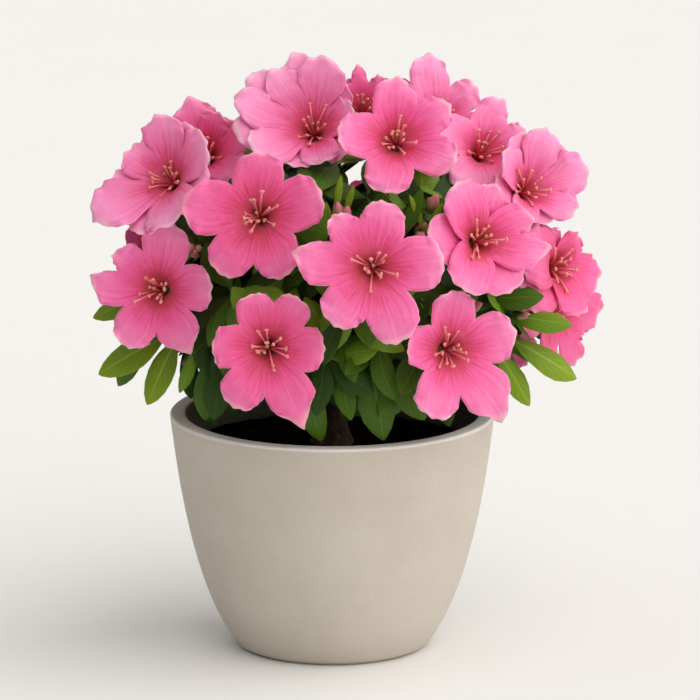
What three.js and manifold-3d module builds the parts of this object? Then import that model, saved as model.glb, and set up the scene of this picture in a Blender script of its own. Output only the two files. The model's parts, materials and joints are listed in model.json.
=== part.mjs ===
// A flowering azalea shrub in its pot. Units are millimetres, and +Z is up.
// The origin is the middle of the pot's flat underside, and the shrub's front faces -Y.
import * as THREE from "three";
import { mergeVertices } from "three/addons/utils/BufferGeometryUtils.js";
import Module from "manifold-3d";

const wasm = await Module();
wasm.setup();

// Every two pieces that would touch keep this much air between them.
const touchGap = 0.3;

// Pot: a thrown bowl shape with a round lip and a small set-in foot
const potHeight = 107;
const footRadius = 41.5;
const footRise = 2;
const bellyBottomRadius = 44;
const bellyLowRadius = 60.5;
const bellyLowHeight = 25;
const bellyHighRadius = 67.4;
const bellyHighHeight = 62;
const lipRadius = 72.6;
const wallThickness = 7;
const floorThickness = 9;
const floorCorner = 3;
const potSegments = 40;
const outerSteps = 8;
const innerSteps = 6;
const lipSteps = 5;

// Soil: fills the pot to a little below the lip, with a low mound round the stem
const soilDepthBelowLip = 15;
const soilSideGap = 1.2;
const soilRoughness = 1.6;
const soilMoundRadius = 15;
const soilSegments = 24;
const soilRings = 5;

// Stem: short, leaning a little, flared where it leaves the soil
const stemHeight = 27;
const stemFootRadius = 6.4;
const stemTipRadius = 4.6;
const stemFlare = 4.4;
const stemFlareReach = 0.22;
const stemLean = new THREE.Vector3(2.5, -1.2, 0);
const stemSides = 12;
const stemSteps = 9;

// Boughs: tapering limbs. The main ones fork from the stem, and the side ones leave a main one
// between two shares of its length. The lift and sag are shares of the way to the mass.
const mainBoughRadius = 3.1;
const sideBoughRadius = 2.2;
const boughTipShare = 0.5;
const forkShare = 0.93;
const sideStartShare = 0.26;
const sideStartSpread = 0.2;
const boughRise = 0.22;
const boughReach = 0.12;
const boughBend = 0.66;
const mainSag = 0.03;
const sideSag = 0.06;
const boughSides = 8;
const boughSteps = 6;

// Crown: a squat dome of separate leaf and blossom masses, open round the boughs in its middle
const crownCentre = new THREE.Vector3(7.5, 0, 165);
const coreRadius = 15;
const coreTop = 178;
const coreTopElevation = 40;
const crownFloor = potHeight + 2.2;
const massGap = 3.4;
const massDetail = 3;
const massFlatness = 0.86;
const massInnerShare = 0.7;
const lobesPerMass = 8;
const lobeHeight = 0.15;
const lobeSharpness = 11;
const lobeOutwardPull = 0.7;
const edgeRoundness = 14;
const firstSeed = 1000;
const seedStep = 77;

// Where each mass sits: bearing from the front towards the right, elevation and distance from the
// crown's centre, and radius. Its bough springs from the stem or from the bough of another mass.
const masses = [
  { place: "top_left", bearing: -58, elevation: 57, distance: 65, radius: 45, from: "left" },
  { place: "top_right", bearing: 48, elevation: 57, distance: 65, radius: 45, from: "right" },
  { place: "top_back_right", bearing: 132, elevation: 54, distance: 62, radius: 44, from: "back_right" },
  { place: "top_back_left", bearing: -142, elevation: 55, distance: 62, radius: 44, from: "back_left" },
  { place: "left", bearing: -96, elevation: 29, distance: 80, radius: 42, from: "stem" },
  { place: "front_left", bearing: -36, elevation: 20, distance: 76, radius: 42, from: "stem" },
  { place: "front_right", bearing: 22, elevation: 17, distance: 77, radius: 42, from: "stem" },
  { place: "right", bearing: 82, elevation: 24, distance: 78, radius: 45, from: "stem" },
  { place: "back_right", bearing: 141, elevation: 22, distance: 77, radius: 43, from: "stem" },
  { place: "back_left", bearing: -153, elevation: 21, distance: 77, radius: 44, from: "stem" },
  { place: "low_left", bearing: -82, elevation: -10, distance: 79, radius: 41, from: "left" },
  { place: "low_front_left", bearing: -27, elevation: -18, distance: 77, radius: 37, from: "front_left" },
  { place: "low_front_right", bearing: 31, elevation: -18, distance: 77, radius: 37, from: "front_right" },
  { place: "low_right", bearing: 88, elevation: -13, distance: 78, radius: 38, from: "right" },
  { place: "low_back_right", bearing: 146, elevation: -16, distance: 78, radius: 38, from: "back_right" },
  { place: "low_back_left", bearing: -143, elevation: -16, distance: 78, radius: 38, from: "back_left" },
];

// Colours, roughness and metalness
const potLook = { color: 0xd3cabd, roughness: 0.82, metalness: 0 };
const soilLook = { color: 0x2b221b, roughness: 0.95, metalness: 0 };
const barkLook = { color: 0x6d5743, roughness: 0.85, metalness: 0 };
const blossomLook = { color: 0xee75a6, roughness: 0.6, metalness: 0 };
const leafLook = { color: 0x557f34, roughness: 0.5, metalness: 0 };

// A repeatable stream of numbers from 0 to 1.
function randomFrom(seed) {
  let state = seed;
  return () => {
    state = (state * 1664525 + 1013904223) % 4294967296;
    return state / 4294967296;
  };
}

function mesh(name, geometry, look) {
  geometry.computeVertexNormals();
  const piece = new THREE.Mesh(geometry, new THREE.MeshStandardMaterial(look));
  piece.name = name;
  return piece;
}

// Keeps only the positions, so that corners shared by several faces become one.
function welded(geometry) {
  const bare = geometry.clone();
  bare.deleteAttribute("normal");
  bare.deleteAttribute("uv");
  return mergeVertices(bare, 1e-4);
}

function toSolid(geometry) {
  const bare = welded(geometry);
  return new wasm.Manifold(new wasm.Mesh({
    numProp: 3,
    vertProperties: new Float32Array(bare.attributes.position.array),
    triVerts: new Uint32Array(bare.index.array),
  }));
}

function toGeometry(solid) {
  const found = solid.getMesh();
  const geometry = new THREE.BufferGeometry();
  geometry.setAttribute("position", new THREE.BufferAttribute(found.vertProperties, 3));
  geometry.setIndex(new THREE.BufferAttribute(found.triVerts, 1));
  return geometry;
}

// A cut can leave crumbs, and only the largest body is the limb.
function largestBody(solid) {
  const bodies = solid.decompose();
  bodies.sort((a, b) => b.volume() - a.volume());
  return bodies[0];
}

// Turns a profile of radius and height round the Z axis.
function turned(profile, segments) {
  const geometry = new THREE.LatheGeometry(profile, segments);
  geometry.rotateX(Math.PI / 2);
  return geometry;
}

// The pot's outer wall, from the foot to just under the lip.
const outerWall = new THREE.CubicBezierCurve(
  new THREE.Vector2(bellyBottomRadius, footRise),
  new THREE.Vector2(bellyLowRadius, bellyLowHeight),
  new THREE.Vector2(bellyHighRadius, bellyHighHeight),
  new THREE.Vector2(lipRadius, potHeight - wallThickness / 2),
);

// The inner radius of the pot at a height, read off the outer wall.
function innerRadiusAt(height) {
  let low = 0;
  let high = 1;
  while (high - low > 1e-4) {
    const middle = (low + high) / 2;
    if (outerWall.getPoint(middle).y < height) {
      low = middle;
    } else {
      high = middle;
    }
  }
  return outerWall.getPoint(low).x - wallThickness;
}

function pot() {
  const profile = new THREE.Path();
  profile.moveTo(0, 0);
  profile.lineTo(footRadius, 0);
  profile.lineTo(bellyBottomRadius, footRise);
  const outline = profile.getPoints();
  outerWall.getPoints(outerSteps).slice(1).forEach((point) => outline.push(point));
  const lip = wallThickness / 2;
  for (let step = 1; step < lipSteps; step += 1) {
    const angle = (step / lipSteps) * Math.PI;
    const across = lipRadius - lip + lip * Math.cos(angle);
    outline.push(new THREE.Vector2(across, potHeight - lip + lip * Math.sin(angle)));
  }
  for (let step = innerSteps; step >= 1; step -= 1) {
    const span = potHeight - lip - floorThickness;
    const height = floorThickness + (span * step) / innerSteps;
    outline.push(new THREE.Vector2(innerRadiusAt(height), height));
  }
  outline.push(new THREE.Vector2(innerRadiusAt(floorThickness) - floorCorner, floorThickness));
  outline.push(new THREE.Vector2(0, floorThickness));
  return turned(outline, potSegments);
}

const soilTop = potHeight - soilDepthBelowLip;

// Low hummocks that die away at the stem and at the pot's wall.
function soilRise(x, y, wallRadius) {
  const fromStem = Math.hypot(x, y);
  const inner = THREE.MathUtils.smoothstep(fromStem, soilMoundRadius, soilMoundRadius * 2);
  const outer = 1 - THREE.MathUtils.smoothstep(fromStem, wallRadius * 0.8, wallRadius);
  const wave = Math.sin(x * 0.17 + 0.6) + Math.sin(y * 0.21 - 1.1) + Math.sin((x + y) * 0.11);
  return (inner * outer * wave * soilRoughness) / 2 - inner * soilRoughness;
}

function soil() {
  const bottom = floorThickness + touchGap;
  const outline = [new THREE.Vector2(0, bottom)];
  outline.push(new THREE.Vector2(innerRadiusAt(bottom) - floorCorner - soilSideGap, bottom));
  for (let step = 1; step <= innerSteps; step += 1) {
    const height = bottom + ((soilTop - soilRoughness - bottom) * step) / innerSteps;
    outline.push(new THREE.Vector2(innerRadiusAt(height) - soilSideGap, height));
  }
  const topRadius = innerRadiusAt(soilTop) - soilSideGap;
  for (let ring = soilRings - 1; ring >= 0; ring -= 1) {
    outline.push(new THREE.Vector2((topRadius * ring) / soilRings, soilTop));
  }
  const geometry = turned(outline, soilSegments);
  const points = geometry.attributes.position;
  for (let i = 0; i < points.count; i += 1) {
    if (points.getZ(i) > soilTop - touchGap) {
      const rise = soilRise(points.getX(i), points.getY(i), topRadius);
      points.setZ(i, points.getZ(i) + rise);
    }
  }
  return geometry;
}

// A limb is a turned bar of changing radius, bent along its path. Its skin can be grown a little,
// for cutting what must stay clear of it.
function limbGeometry(limb, grow) {
  const outline = [new THREE.Vector2(0, 0)];
  for (let step = 0; step <= limb.steps; step += 1) {
    const along = step / limb.steps;
    outline.push(new THREE.Vector2(limb.radiusAt(along) + grow, along));
  }
  outline.push(new THREE.Vector2(0, 1));
  const geometry = turned(outline, limb.sides);
  const frames = limb.path.computeFrenetFrames(limb.steps, false);
  const points = geometry.attributes.position;
  for (let i = 0; i < points.count; i += 1) {
    const along = THREE.MathUtils.clamp(points.getZ(i), 0, 1);
    const step = Math.round(along * limb.steps);
    const place = limb.path.getPointAt(along);
    place.addScaledVector(frames.normals[step], points.getX(i));
    place.addScaledVector(frames.binormals[step], points.getY(i));
    points.setXYZ(i, place.x, place.y, place.z);
  }
  return geometry;
}

// Frames that turn with the path can flip a bar inside out, which this puts right.
function limbSolid(limb, grow) {
  const geometry = welded(limbGeometry(limb, grow));
  const solid = toSolid(geometry);
  if (solid.volume() > 0) {
    return solid;
  }
  const index = geometry.index.array;
  for (let i = 0; i < index.length; i += 3) {
    [index[i], index[i + 1]] = [index[i + 1], index[i]];
  }
  return toSolid(geometry);
}

const stemFoot = new THREE.Vector3(0, 0, soilTop + touchGap);
const stemTip = stemFoot.clone().add(stemLean).add(new THREE.Vector3(0, 0, stemHeight));

const stem = {
  sides: stemSides,
  steps: stemSteps,
  path: new THREE.QuadraticBezierCurve3(
    stemFoot,
    new THREE.Vector3(stemFoot.x, stemFoot.y, (stemFoot.z + stemTip.z) / 2),
    stemTip,
  ),
  radiusAt: (along) => (
    THREE.MathUtils.lerp(stemFootRadius, stemTipRadius, along)
    + stemFlare * Math.exp(-along / stemFlareReach)
  ),
};

function directionFrom(bearing, elevation) {
  const turn = THREE.MathUtils.degToRad(bearing);
  const lift = THREE.MathUtils.degToRad(elevation);
  return new THREE.Vector3(
    Math.sin(turn) * Math.cos(lift),
    -Math.cos(turn) * Math.cos(lift),
    Math.sin(lift),
  );
}

masses.forEach((mass, number) => {
  mass.outward = directionFrom(mass.bearing, mass.elevation);
  mass.centre = crownCentre.clone().addScaledVector(mass.outward, mass.distance);
  mass.random = randomFrom(firstSeed + seedStep * number);
});

// The flat limits that keep a mass off its neighbours, off the pot and out of the crown's core.
function limitsOf(mass) {
  const limits = [];
  masses.filter((other) => other !== mass).forEach((other) => {
    const towards = other.centre.clone().sub(mass.centre);
    const apart = towards.length();
    const share = 0.5 + (mass.radius ** 2 - other.radius ** 2) / (2 * apart ** 2);
    limits.push({ normal: towards.normalize(), reach: apart * share - massGap / 2 });
  });
  const top = mass.elevation > coreTopElevation;
  const floor = top ? coreTop : crownFloor;
  limits.push({ normal: new THREE.Vector3(0, 0, -1), reach: mass.centre.z - floor });
  if (!top) {
    const sideways = new THREE.Vector3(mass.centre.x, mass.centre.y, 0);
    const reach = Math.max(sideways.length() - coreRadius, mass.radius * massInnerShare);
    limits.push({ normal: sideways.normalize().negate(), reach });
  }
  return limits;
}

// The lesser of two numbers, with the corner between them rounded off.
function roundedMin(a, b, roundness) {
  const share = Math.max(roundness - Math.abs(a - b), 0) / roundness;
  return Math.min(a, b) - (share * share * roundness) / 4;
}

// A mass is a ball pressed flatter towards the crown's centre, swollen into lobes where its sprays
// stand out, and pressed against the flat limits of its place.
function massGeometry(mass) {
  const lobes = [];
  for (let i = 0; i < lobesPerMass; i += 1) {
    const axis = new THREE.Vector3(mass.random() - 0.5, mass.random() - 0.5, mass.random() - 0.5);
    axis.normalize().addScaledVector(mass.outward, lobeOutwardPull).normalize();
    lobes.push({ axis, height: lobeHeight * (0.5 + mass.random()) });
  }
  const limits = limitsOf(mass);
  const geometry = welded(new THREE.IcosahedronGeometry(1, massDetail));
  const points = geometry.attributes.position;
  const ray = new THREE.Vector3();
  for (let i = 0; i < points.count; i += 1) {
    ray.fromBufferAttribute(points, i).normalize();
    const along = ray.dot(mass.outward);
    let reach = mass.radius / Math.sqrt((along / massFlatness) ** 2 + 1 - along ** 2);
    lobes.forEach((lobe) => {
      const swell = Math.exp((ray.dot(lobe.axis) - 1) * lobeSharpness);
      reach *= 1 + lobe.height * swell;
    });
    limits.forEach((limit) => {
      const facing = ray.dot(limit.normal);
      if (facing > 0.02) {
        reach = roundedMin(reach, limit.reach / facing, edgeRoundness);
      }
    });
    points.setXYZ(
      i,
      mass.centre.x + ray.x * reach,
      mass.centre.y + ray.y * reach,
      mass.centre.z + ray.z * reach,
    );
  }
  return geometry;
}

// A bough leaves its parent part of the way up it, keeps the parent's direction for a while,
// and then heads for the middle of its mass.
function boughOf(mass, boughs) {
  const main = mass.from === "stem";
  const parent = main ? stem : boughs[mass.from];
  const along = main ? forkShare : sideStartShare + sideStartSpread * mass.random();
  const start = parent.path.getPointAt(along);
  const target = mass.centre.clone();
  const gap = target.distanceTo(start);
  const first = start.clone().addScaledVector(parent.path.getTangentAt(along), gap * boughRise);
  first.addScaledVector(target.clone().sub(start).normalize(), gap * boughReach);
  const second = start.clone().lerp(target, boughBend);
  second.z -= gap * (main ? mainSag : sideSag);
  const baseRadius = main ? mainBoughRadius : sideBoughRadius;
  return {
    sides: boughSides,
    steps: boughSteps,
    path: new THREE.CubicBezierCurve3(start, first, second, target),
    radiusAt: (share) => baseRadius * THREE.MathUtils.lerp(1, boughTipShare, share),
  };
}

const shrub = new THREE.Group();
shrub.add(mesh("pot", pot(), potLook));
shrub.add(mesh("soil", soil(), soilLook));
shrub.add(mesh("stem", toGeometry(limbSolid(stem, 0)), barkLook));

// Masses, and a slightly larger copy of each for cutting the boughs off where they would enter.
const massCutters = masses.map((mass) => {
  const geometry = massGeometry(mass);
  const blooms = mass.elevation > 0;
  shrub.add(mesh(`foliage_${mass.place}`, geometry, blooms ? blossomLook : leafLook));
  const grow = 1 + (2 * touchGap) / mass.radius;
  const larger = geometry.clone();
  larger.translate(-mass.centre.x, -mass.centre.y, -mass.centre.z);
  larger.scale(grow, grow, grow);
  larger.translate(mass.centre.x, mass.centre.y, mass.centre.z);
  return toSolid(larger);
});

// Boughs from the stem come first, and each is cut clear of the limbs before it.
const boughs = {};
const limbCutters = [limbSolid(stem, touchGap)];
const inOrder = [...masses].sort((a, b) => (b.from === "stem") - (a.from === "stem"));
inOrder.forEach((mass) => {
  const bough = boughOf(mass, boughs);
  boughs[mass.place] = bough;
  let solid = limbSolid(bough, 0);
  [...massCutters, ...limbCutters].forEach((cutter) => {
    solid = solid.subtract(cutter);
  });
  shrub.add(mesh(`bough_${mass.place}`, toGeometry(largestBody(solid)), barkLook));
  limbCutters.push(limbSolid(bough, touchGap));
});

export default shrub;
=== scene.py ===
# Potted azalea shrub: its looks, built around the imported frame. Metres, +Z up, front towards -Y.
import json
import math
import random

import bmesh
import bpy
import numpy as np
from mathutils import Matrix, Vector, noise

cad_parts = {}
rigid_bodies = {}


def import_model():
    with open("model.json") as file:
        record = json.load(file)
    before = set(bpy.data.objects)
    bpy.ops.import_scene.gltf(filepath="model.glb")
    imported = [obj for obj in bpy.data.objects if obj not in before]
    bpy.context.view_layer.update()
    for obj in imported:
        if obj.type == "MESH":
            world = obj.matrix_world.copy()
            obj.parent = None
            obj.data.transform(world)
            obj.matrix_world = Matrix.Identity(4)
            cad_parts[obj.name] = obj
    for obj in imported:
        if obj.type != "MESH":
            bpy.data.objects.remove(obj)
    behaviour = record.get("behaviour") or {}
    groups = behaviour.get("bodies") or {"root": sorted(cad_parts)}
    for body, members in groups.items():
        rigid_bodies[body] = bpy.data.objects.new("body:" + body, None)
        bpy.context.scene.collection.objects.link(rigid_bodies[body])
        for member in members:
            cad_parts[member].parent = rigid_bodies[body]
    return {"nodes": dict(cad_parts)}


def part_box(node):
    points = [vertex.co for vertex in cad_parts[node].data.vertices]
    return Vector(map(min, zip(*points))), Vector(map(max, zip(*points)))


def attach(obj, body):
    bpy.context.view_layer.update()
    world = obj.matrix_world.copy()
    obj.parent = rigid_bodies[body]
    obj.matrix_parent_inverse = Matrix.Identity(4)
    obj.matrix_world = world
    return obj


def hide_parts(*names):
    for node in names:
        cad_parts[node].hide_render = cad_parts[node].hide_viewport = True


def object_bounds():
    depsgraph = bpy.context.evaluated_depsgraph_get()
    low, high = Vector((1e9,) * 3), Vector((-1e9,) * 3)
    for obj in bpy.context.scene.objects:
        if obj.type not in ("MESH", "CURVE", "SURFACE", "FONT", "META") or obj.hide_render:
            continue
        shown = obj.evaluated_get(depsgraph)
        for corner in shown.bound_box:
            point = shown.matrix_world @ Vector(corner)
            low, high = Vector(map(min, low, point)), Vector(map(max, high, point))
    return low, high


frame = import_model()
cadLow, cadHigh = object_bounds()
mm = 0.001
fullTurn = 2 * math.pi
skyward = Vector((0, 0, 1))

# The crown's dome, in mm: blossom sits on it and leaves fill it.
crown = {"centre": Vector((7.5, 0, 165)), "halfWidth": 96, "halfDepth": 92, "rise": 86, "drop": 52}


# Helpers for node trees

def rgb(red, green, blue):
    return (red, green, blue, 1.0)


# The first socket of this name, which is given without spaces and in any case
def socketOf(sockets, name):
    return next(socket for socket in sockets if socket.name.replace(" ", "").lower() == name.lower())


def shownOf(sockets):
    return [socket for socket in sockets if socket.enabled]


# Values go to the inputs that the node shows, in their order, and the others by name. Each may be another
# node's socket.
def addNode(tree, kind, settings=None, *values, **inputs):
    node = tree.nodes.new(kind)
    for name, value in (settings or {}).items():
        setattr(node, name, value)
    pairs = list(zip(shownOf(node.inputs), values))
    pairs += [(socketOf(node.inputs, name), value) for name, value in inputs.items()]
    for socket, value in pairs:
        if isinstance(value, bpy.types.NodeSocket):
            tree.links.new(value, socket)
        else:
            socket.default_value = value
    return node


# The first output that a new node shows
def nodeValue(tree, kind, settings=None, *values, **inputs):
    return shownOf(addNode(tree, kind, settings, *values, **inputs).outputs)[0]


def maths(tree, operation, *values):
    return nodeValue(tree, "ShaderNodeMath", {"operation": operation}, *values)


# The product of two or more values
def times(tree, product, *others):
    for value in others:
        product = maths(tree, "MULTIPLY", product, value)
    return product


# a times b, plus c
def timesPlus(tree, a, b, c):
    return maths(tree, "MULTIPLY_ADD", a, b, c)


# A value from 0 to 1, such as a noise, moved down to lie around 0
def centred(tree, value):
    return maths(tree, "SUBTRACT", value, 0.5)


def blendColour(tree, share, a, b):
    return nodeValue(tree, "ShaderNodeMix", {"data_type": "RGBA"}, share, a, b)


# Lays a colour over a shade, as strong as the product of the masks.
def layOver(tree, shade, colour, *masks):
    return blendColour(tree, times(tree, *masks), shade, colour)


def smoothRange(tree, value, low, high):
    settings = {"interpolation_type": "SMOOTHSTEP"}
    return nodeValue(tree, "ShaderNodeMapRange", settings, value, low, high)


def noiseOf(tree, vector, scale, detail=3.0, roughness=0.5):
    return nodeValue(tree, "ShaderNodeTexNoise", vector=vector, scale=scale, detail=detail,
                     roughness=roughness)


def partsOf(tree, vector):
    return addNode(tree, "ShaderNodeSeparateXYZ", vector=vector).outputs


def stretched(tree, vector, scale):
    return nodeValue(tree, "ShaderNodeMapping", vector=vector, scale=scale)


def groupOf(tree, group, **inputs):
    return addNode(tree, "ShaderNodeGroup", {"node_tree": group}, **inputs).outputs


def objectPlace(tree):
    return tree.nodes.new("ShaderNodeTexCoord").outputs["Object"]


def ownMap(tree):
    return nodeValue(tree, "ShaderNodeUVMap", {"uv_map": "OFBake"})


def rampOf(tree, value, stops):
    node = addNode(tree, "ShaderNodeValToRGB", fac=value)
    ramp = node.color_ramp
    while len(ramp.elements) < len(stops):
        ramp.elements.new(0.5)
    for element, (place, shade) in zip(ramp.elements, stops):
        element.position = place
        element.color = shade
    return node.outputs[0]


# Opens a node group. An input's value is its default, or a word for its kind.
def newGroup(name, kind, **inputs):
    group = bpy.data.node_groups.new(name, kind)
    for title, value in inputs.items():
        word = {float: "Float", int: "Int"}.get(type(value), value)
        socket = group.interface.new_socket(title, in_out="INPUT", socket_type="NodeSocket" + word)
        if word != value:
            socket.default_value = value
    return group, group.nodes.new("NodeGroupInput").outputs


# Closes a node group with its outputs, all of one kind.
def closeGroup(group, kind, **results):
    for title in results:
        group.interface.new_socket(title, in_out="OUTPUT", socket_type="NodeSocket" + kind)
    end = group.nodes.new("NodeGroupOutput")
    for title, value in results.items():
        group.links.new(value, end.inputs[title])
    return group


def newMaterial(name, **values):
    material = bpy.data.materials.new(name)
    material.use_nodes = True
    shader = material.node_tree.nodes["Principled BSDF"]
    for title, value in values.items():
        socketOf(shader.inputs, title).default_value = value
    return material, material.node_tree, shader


# Gives a shader its colour, its relief as a bump so many metres deep and, where given, its roughness.
def dress(tree, shader, shade, height, strength, depth, rough=None):
    bump = nodeValue(tree, "ShaderNodeBump", strength=strength, distance=depth, height=height)
    tree.links.new(shade, shader.inputs["Base Color"])
    tree.links.new(bump, shader.inputs["Normal"])
    if rough is not None:
        tree.links.new(rough, shader.inputs["Roughness"])


# Helpers for meshes and objects

def newPiece(name, data, material=None):
    piece = bpy.data.objects.new(name, data)
    bpy.context.scene.collection.objects.link(piece)
    if material is not None:
        data.materials.append(material)
    return piece


# A smooth mesh, with its own map when the faces' corners have places on one.
def newMesh(name, verts, faces, corners=()):
    mesh = bpy.data.meshes.new(name)
    mesh.from_pydata(verts, [], faces)
    if corners:
        layer = mesh.uv_layers.new(name="OFBake")
        layer.data.foreach_set("uv", [part for corner in corners for part in corner])
    mesh.shade_smooth()
    return mesh


# Quads between rows of points, and their map corners. Across and along are the map's lines, and a closed
# sheet meets itself, as a tube does.
def sheetFaces(across, along, first=0, turned=True, closed=False):
    perRow = len(across) - 1 if closed else len(across)
    faces = []
    corners = []
    for row in range(len(along) - 1):
        for column in range(len(across) - 1):
            quad = [(row, column), (row + 1, column), (row + 1, column + 1), (row, column + 1)]
            if turned:
                quad = quad[:1] + quad[:0:-1]
            faces.append(tuple(first + y * perRow + x % perRow for y, x in quad))
            corners += [(across[x], along[y]) for y, x in quad]
    return faces, corners


# A closed tube of unit length along Z. Its profile is (share of length, radius) for each ring, and spot
# gives the point from these and the side's number.
def tubeMesh(name, profile, sides, spot):
    verts = [spot(share, radius, side) for share, radius in profile for side in range(sides)]
    lines = [side / sides for side in range(sides + 1)]
    faces, corners = sheetFaces(lines, [min(1.0, share) for share, radius in profile], closed=True)
    faces += [tuple(range(sides))[::-1], tuple(range(len(verts) - sides, len(verts)))]
    corners += [(side / sides, end) for end in (0.0, 1.0) for side in range(sides)]
    return newMesh(name, verts, faces, corners)


# Even lines over a map, from one margin to the other
def mapLines(count, margin):
    return [margin + (1 - 2 * margin) * step / count for step in range(count + 1)]


# Puts what was made in a bmesh into the mesh.
def pour(work, mesh):
    work.to_mesh(mesh)
    work.free()
    return mesh


# Turns a closed mesh's faces outwards.
def faceOut(mesh):
    work = bmesh.new()
    work.from_mesh(mesh)
    bmesh.ops.recalc_face_normals(work, faces=work.faces)
    pour(work, mesh)


def giveAttribute(mesh, name, kind, values):
    field = "vector" if kind == "FLOAT_VECTOR" else "value"
    mesh.attributes.new(name, kind, "POINT").data.foreach_set(field, values)


def growNodes(piece, tree, **inputs):
    modifier = piece.modifiers.new(tree.name, "NODES")
    modifier.node_group = tree
    for item in tree.interface.items_tree:
        if item.in_out == "INPUT" and item.name in inputs:
            modifier[item.identifier] = inputs[item.name]


# Turns everything that the modifiers make into the piece's own plain mesh.
def settle(piece):
    graph = bpy.context.evaluated_depsgraph_get()
    whole = piece.evaluated_get(graph)
    mesh = bpy.data.meshes.new_from_object(whole, preserve_all_data_layers=True, depsgraph=graph)
    piece.modifiers.clear()
    piece.data = mesh
    mesh.name = piece.name
    return piece


def finishPiece(piece, replaced=()):
    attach(piece, "root")
    if replaced:
        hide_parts(*replaced)
    piece.data.calc_loop_triangles()
    print("piece", piece.name, len(piece.data.loop_triangles), "triangles")


# Helpers for ways and places

# The way that something faces: bearing 0 is the front, 90 the right, and lift is degrees above level.
def facing(bearing, lift):
    turn = math.radians(bearing)
    rise = math.radians(lift)
    flat = math.cos(rise)
    return Vector((math.sin(turn) * flat, -math.cos(turn) * flat, math.sin(rise)))


# A right-handed set of axes from its second and third
def axesOf(second, third):
    return Matrix((second.cross(third), second, third)).transposed()


# The part of one way that is square to another
def squareTo(way, along):
    return way - along * way.dot(along)


# The main way, and one square to it that lies as near as it can to the hint, or else to the spare one.
def aim(main, hint, spare):
    main = main.normalized()
    near = squareTo(hint, main)
    if near.length < 0.05:   # the hint runs along the main way
        near = squareTo(spare, main)
    return main, near.normalized()


# Axes whose third is the way something faces and whose second points as far up as it can
def uprightFrame(forward):
    forward, up = aim(forward, skyward, Vector((0, 1, 0)))
    return axesOf(up, forward)


# Axes whose second runs along a leaf and whose third leaves its upper side
def leafAxes(along, upper):
    along, upper = aim(along, upper, skyward)
    return axesOf(along, upper)


# Random numbers of up to this much each way
def swings(rng, most, count):
    return [rng.uniform(-most, most) for axis in range(count)]


def jitter(rng, most):
    return Vector(swings(rng, most, 3))


def onCircle(radius, angle):
    return radius * math.cos(angle), radius * math.sin(angle)


# Coordinates turned about the Z axis
def rotated(x, y, angle):
    return x * math.cos(angle) - y * math.sin(angle), x * math.sin(angle) + y * math.cos(angle)


# The crown's half sizes, above its middle or below it
def crownSizes(above):
    return crown["halfWidth"], crown["halfDepth"], crown["rise"] if above else crown["drop"]


# How far out a place in mm lies, where 1 is on the dome
def domeShare(place):
    offset = place - crown["centre"]
    return Vector([part / size for part, size in zip(offset, crownSizes(offset.z > 0))]).length


massNames = sorted(name for name in frame["nodes"] if name.startswith("foliage_"))
limbNames = sorted(name for name in frame["nodes"] if name == "stem" or name.startswith("bough_"))


# Stage: a pale floor, soft light from the right and above, and the photograph's angle of view

stage = {
    # the lens in mm, its sensor and the floor in metres, the lift in degrees
    "lens": 400, "sensorWidth": 0.036, "lift": 13, "fill": 0.86, "floorSize": 24, "floorGrain": 9.0,
    "floorColour": rgb(0.845, 0.832, 0.812), "floorShade": rgb(0.832, 0.818, 0.798),
    "worldColour": rgb(1.0, 0.985, 0.965), "worldStrength": 0.22,
    # way each comes from as (bearing, lift), strength, softness in degrees, colour
    "lights": {
        "window": ((62, 38), 2.8, 100, (1.0, 0.985, 0.96)),
        "overhead": ((0, 89), 1.22, 120, (1.0, 0.99, 0.98)),
    },
}


def makeFloor():
    half = stage["floorSize"] / 2
    corners = [(-half, -half, 0), (half, -half, 0), (half, half, 0), (-half, half, 0)]
    material, tree, shader = newMaterial("floorPaint", roughness=0.6)
    grain = noiseOf(tree, objectPlace(tree), stage["floorGrain"], 4.0)
    shade = blendColour(tree, grain, stage["floorColour"], stage["floorShade"])
    tree.links.new(shade, shader.inputs["Base Color"])
    newPiece("floor", newMesh("floor", corners, [(0, 1, 2, 3)]), material)


def cameraDistance():
    return (cadHigh.z - cadLow.z) / stage["fill"] * stage["lens"] * mm / stage["sensorWidth"]


# How far along the picture's own right, up and out a place lies, all in the place's units
def onPicture(place):
    lift = math.radians(stage["lift"])
    up = place.z * math.cos(lift) + place.y * math.sin(lift)
    return place.x, up, place.z * math.sin(lift) - place.y * math.cos(lift)


# The place in mm that is seen from the front at this much right and up, when it lies so far back
def seenAt(right, up, back):
    lift = math.radians(stage["lift"])
    middle = onPicture((cadLow + cadHigh) / 2 / mm)
    far = cameraDistance() / mm
    place = Vector((right, back, up))
    for repeat in range(4):   # each brings it nearer to where it settles
        shrink = 1 - (onPicture(place)[2] - middle[2]) / far
        x = middle[0] + (right - middle[0]) * shrink
        level = middle[1] + (up - middle[1]) * shrink
        place = Vector((x, back, (level - back * math.sin(lift)) / math.cos(lift)))
    return place, shrink


def makeStage():
    makeFloor()
    for name, (way, strength, softness, colour) in stage["lights"].items():
        sun = bpy.data.lights.new(name, "SUN")
        sun.energy = strength
        sun.angle = math.radians(softness)
        sun.color = colour
        newPiece(name, sun).rotation_euler = (-facing(*way)).to_track_quat("-Z", "Y").to_euler()
    world = bpy.data.worlds.new("studio")
    world.use_nodes = True
    sky = world.node_tree.nodes["Background"]
    sky.inputs["Color"].default_value = stage["worldColour"]
    sky.inputs["Strength"].default_value = stage["worldStrength"]
    bpy.context.scene.world = world
    camera = newPiece("camera", bpy.data.cameras.new("camera"))
    camera.data.lens = stage["lens"]
    back = facing(0, stage["lift"])
    camera.location = (cadLow + cadHigh) / 2 + back * cameraDistance()
    camera.rotation_euler = (-back).to_track_quat("-Z", "Y").to_euler()
    bpy.context.scene.camera = camera
    bpy.context.scene.view_settings.view_transform = "Standard"
    print("stage ready")


# Shader groups

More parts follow.
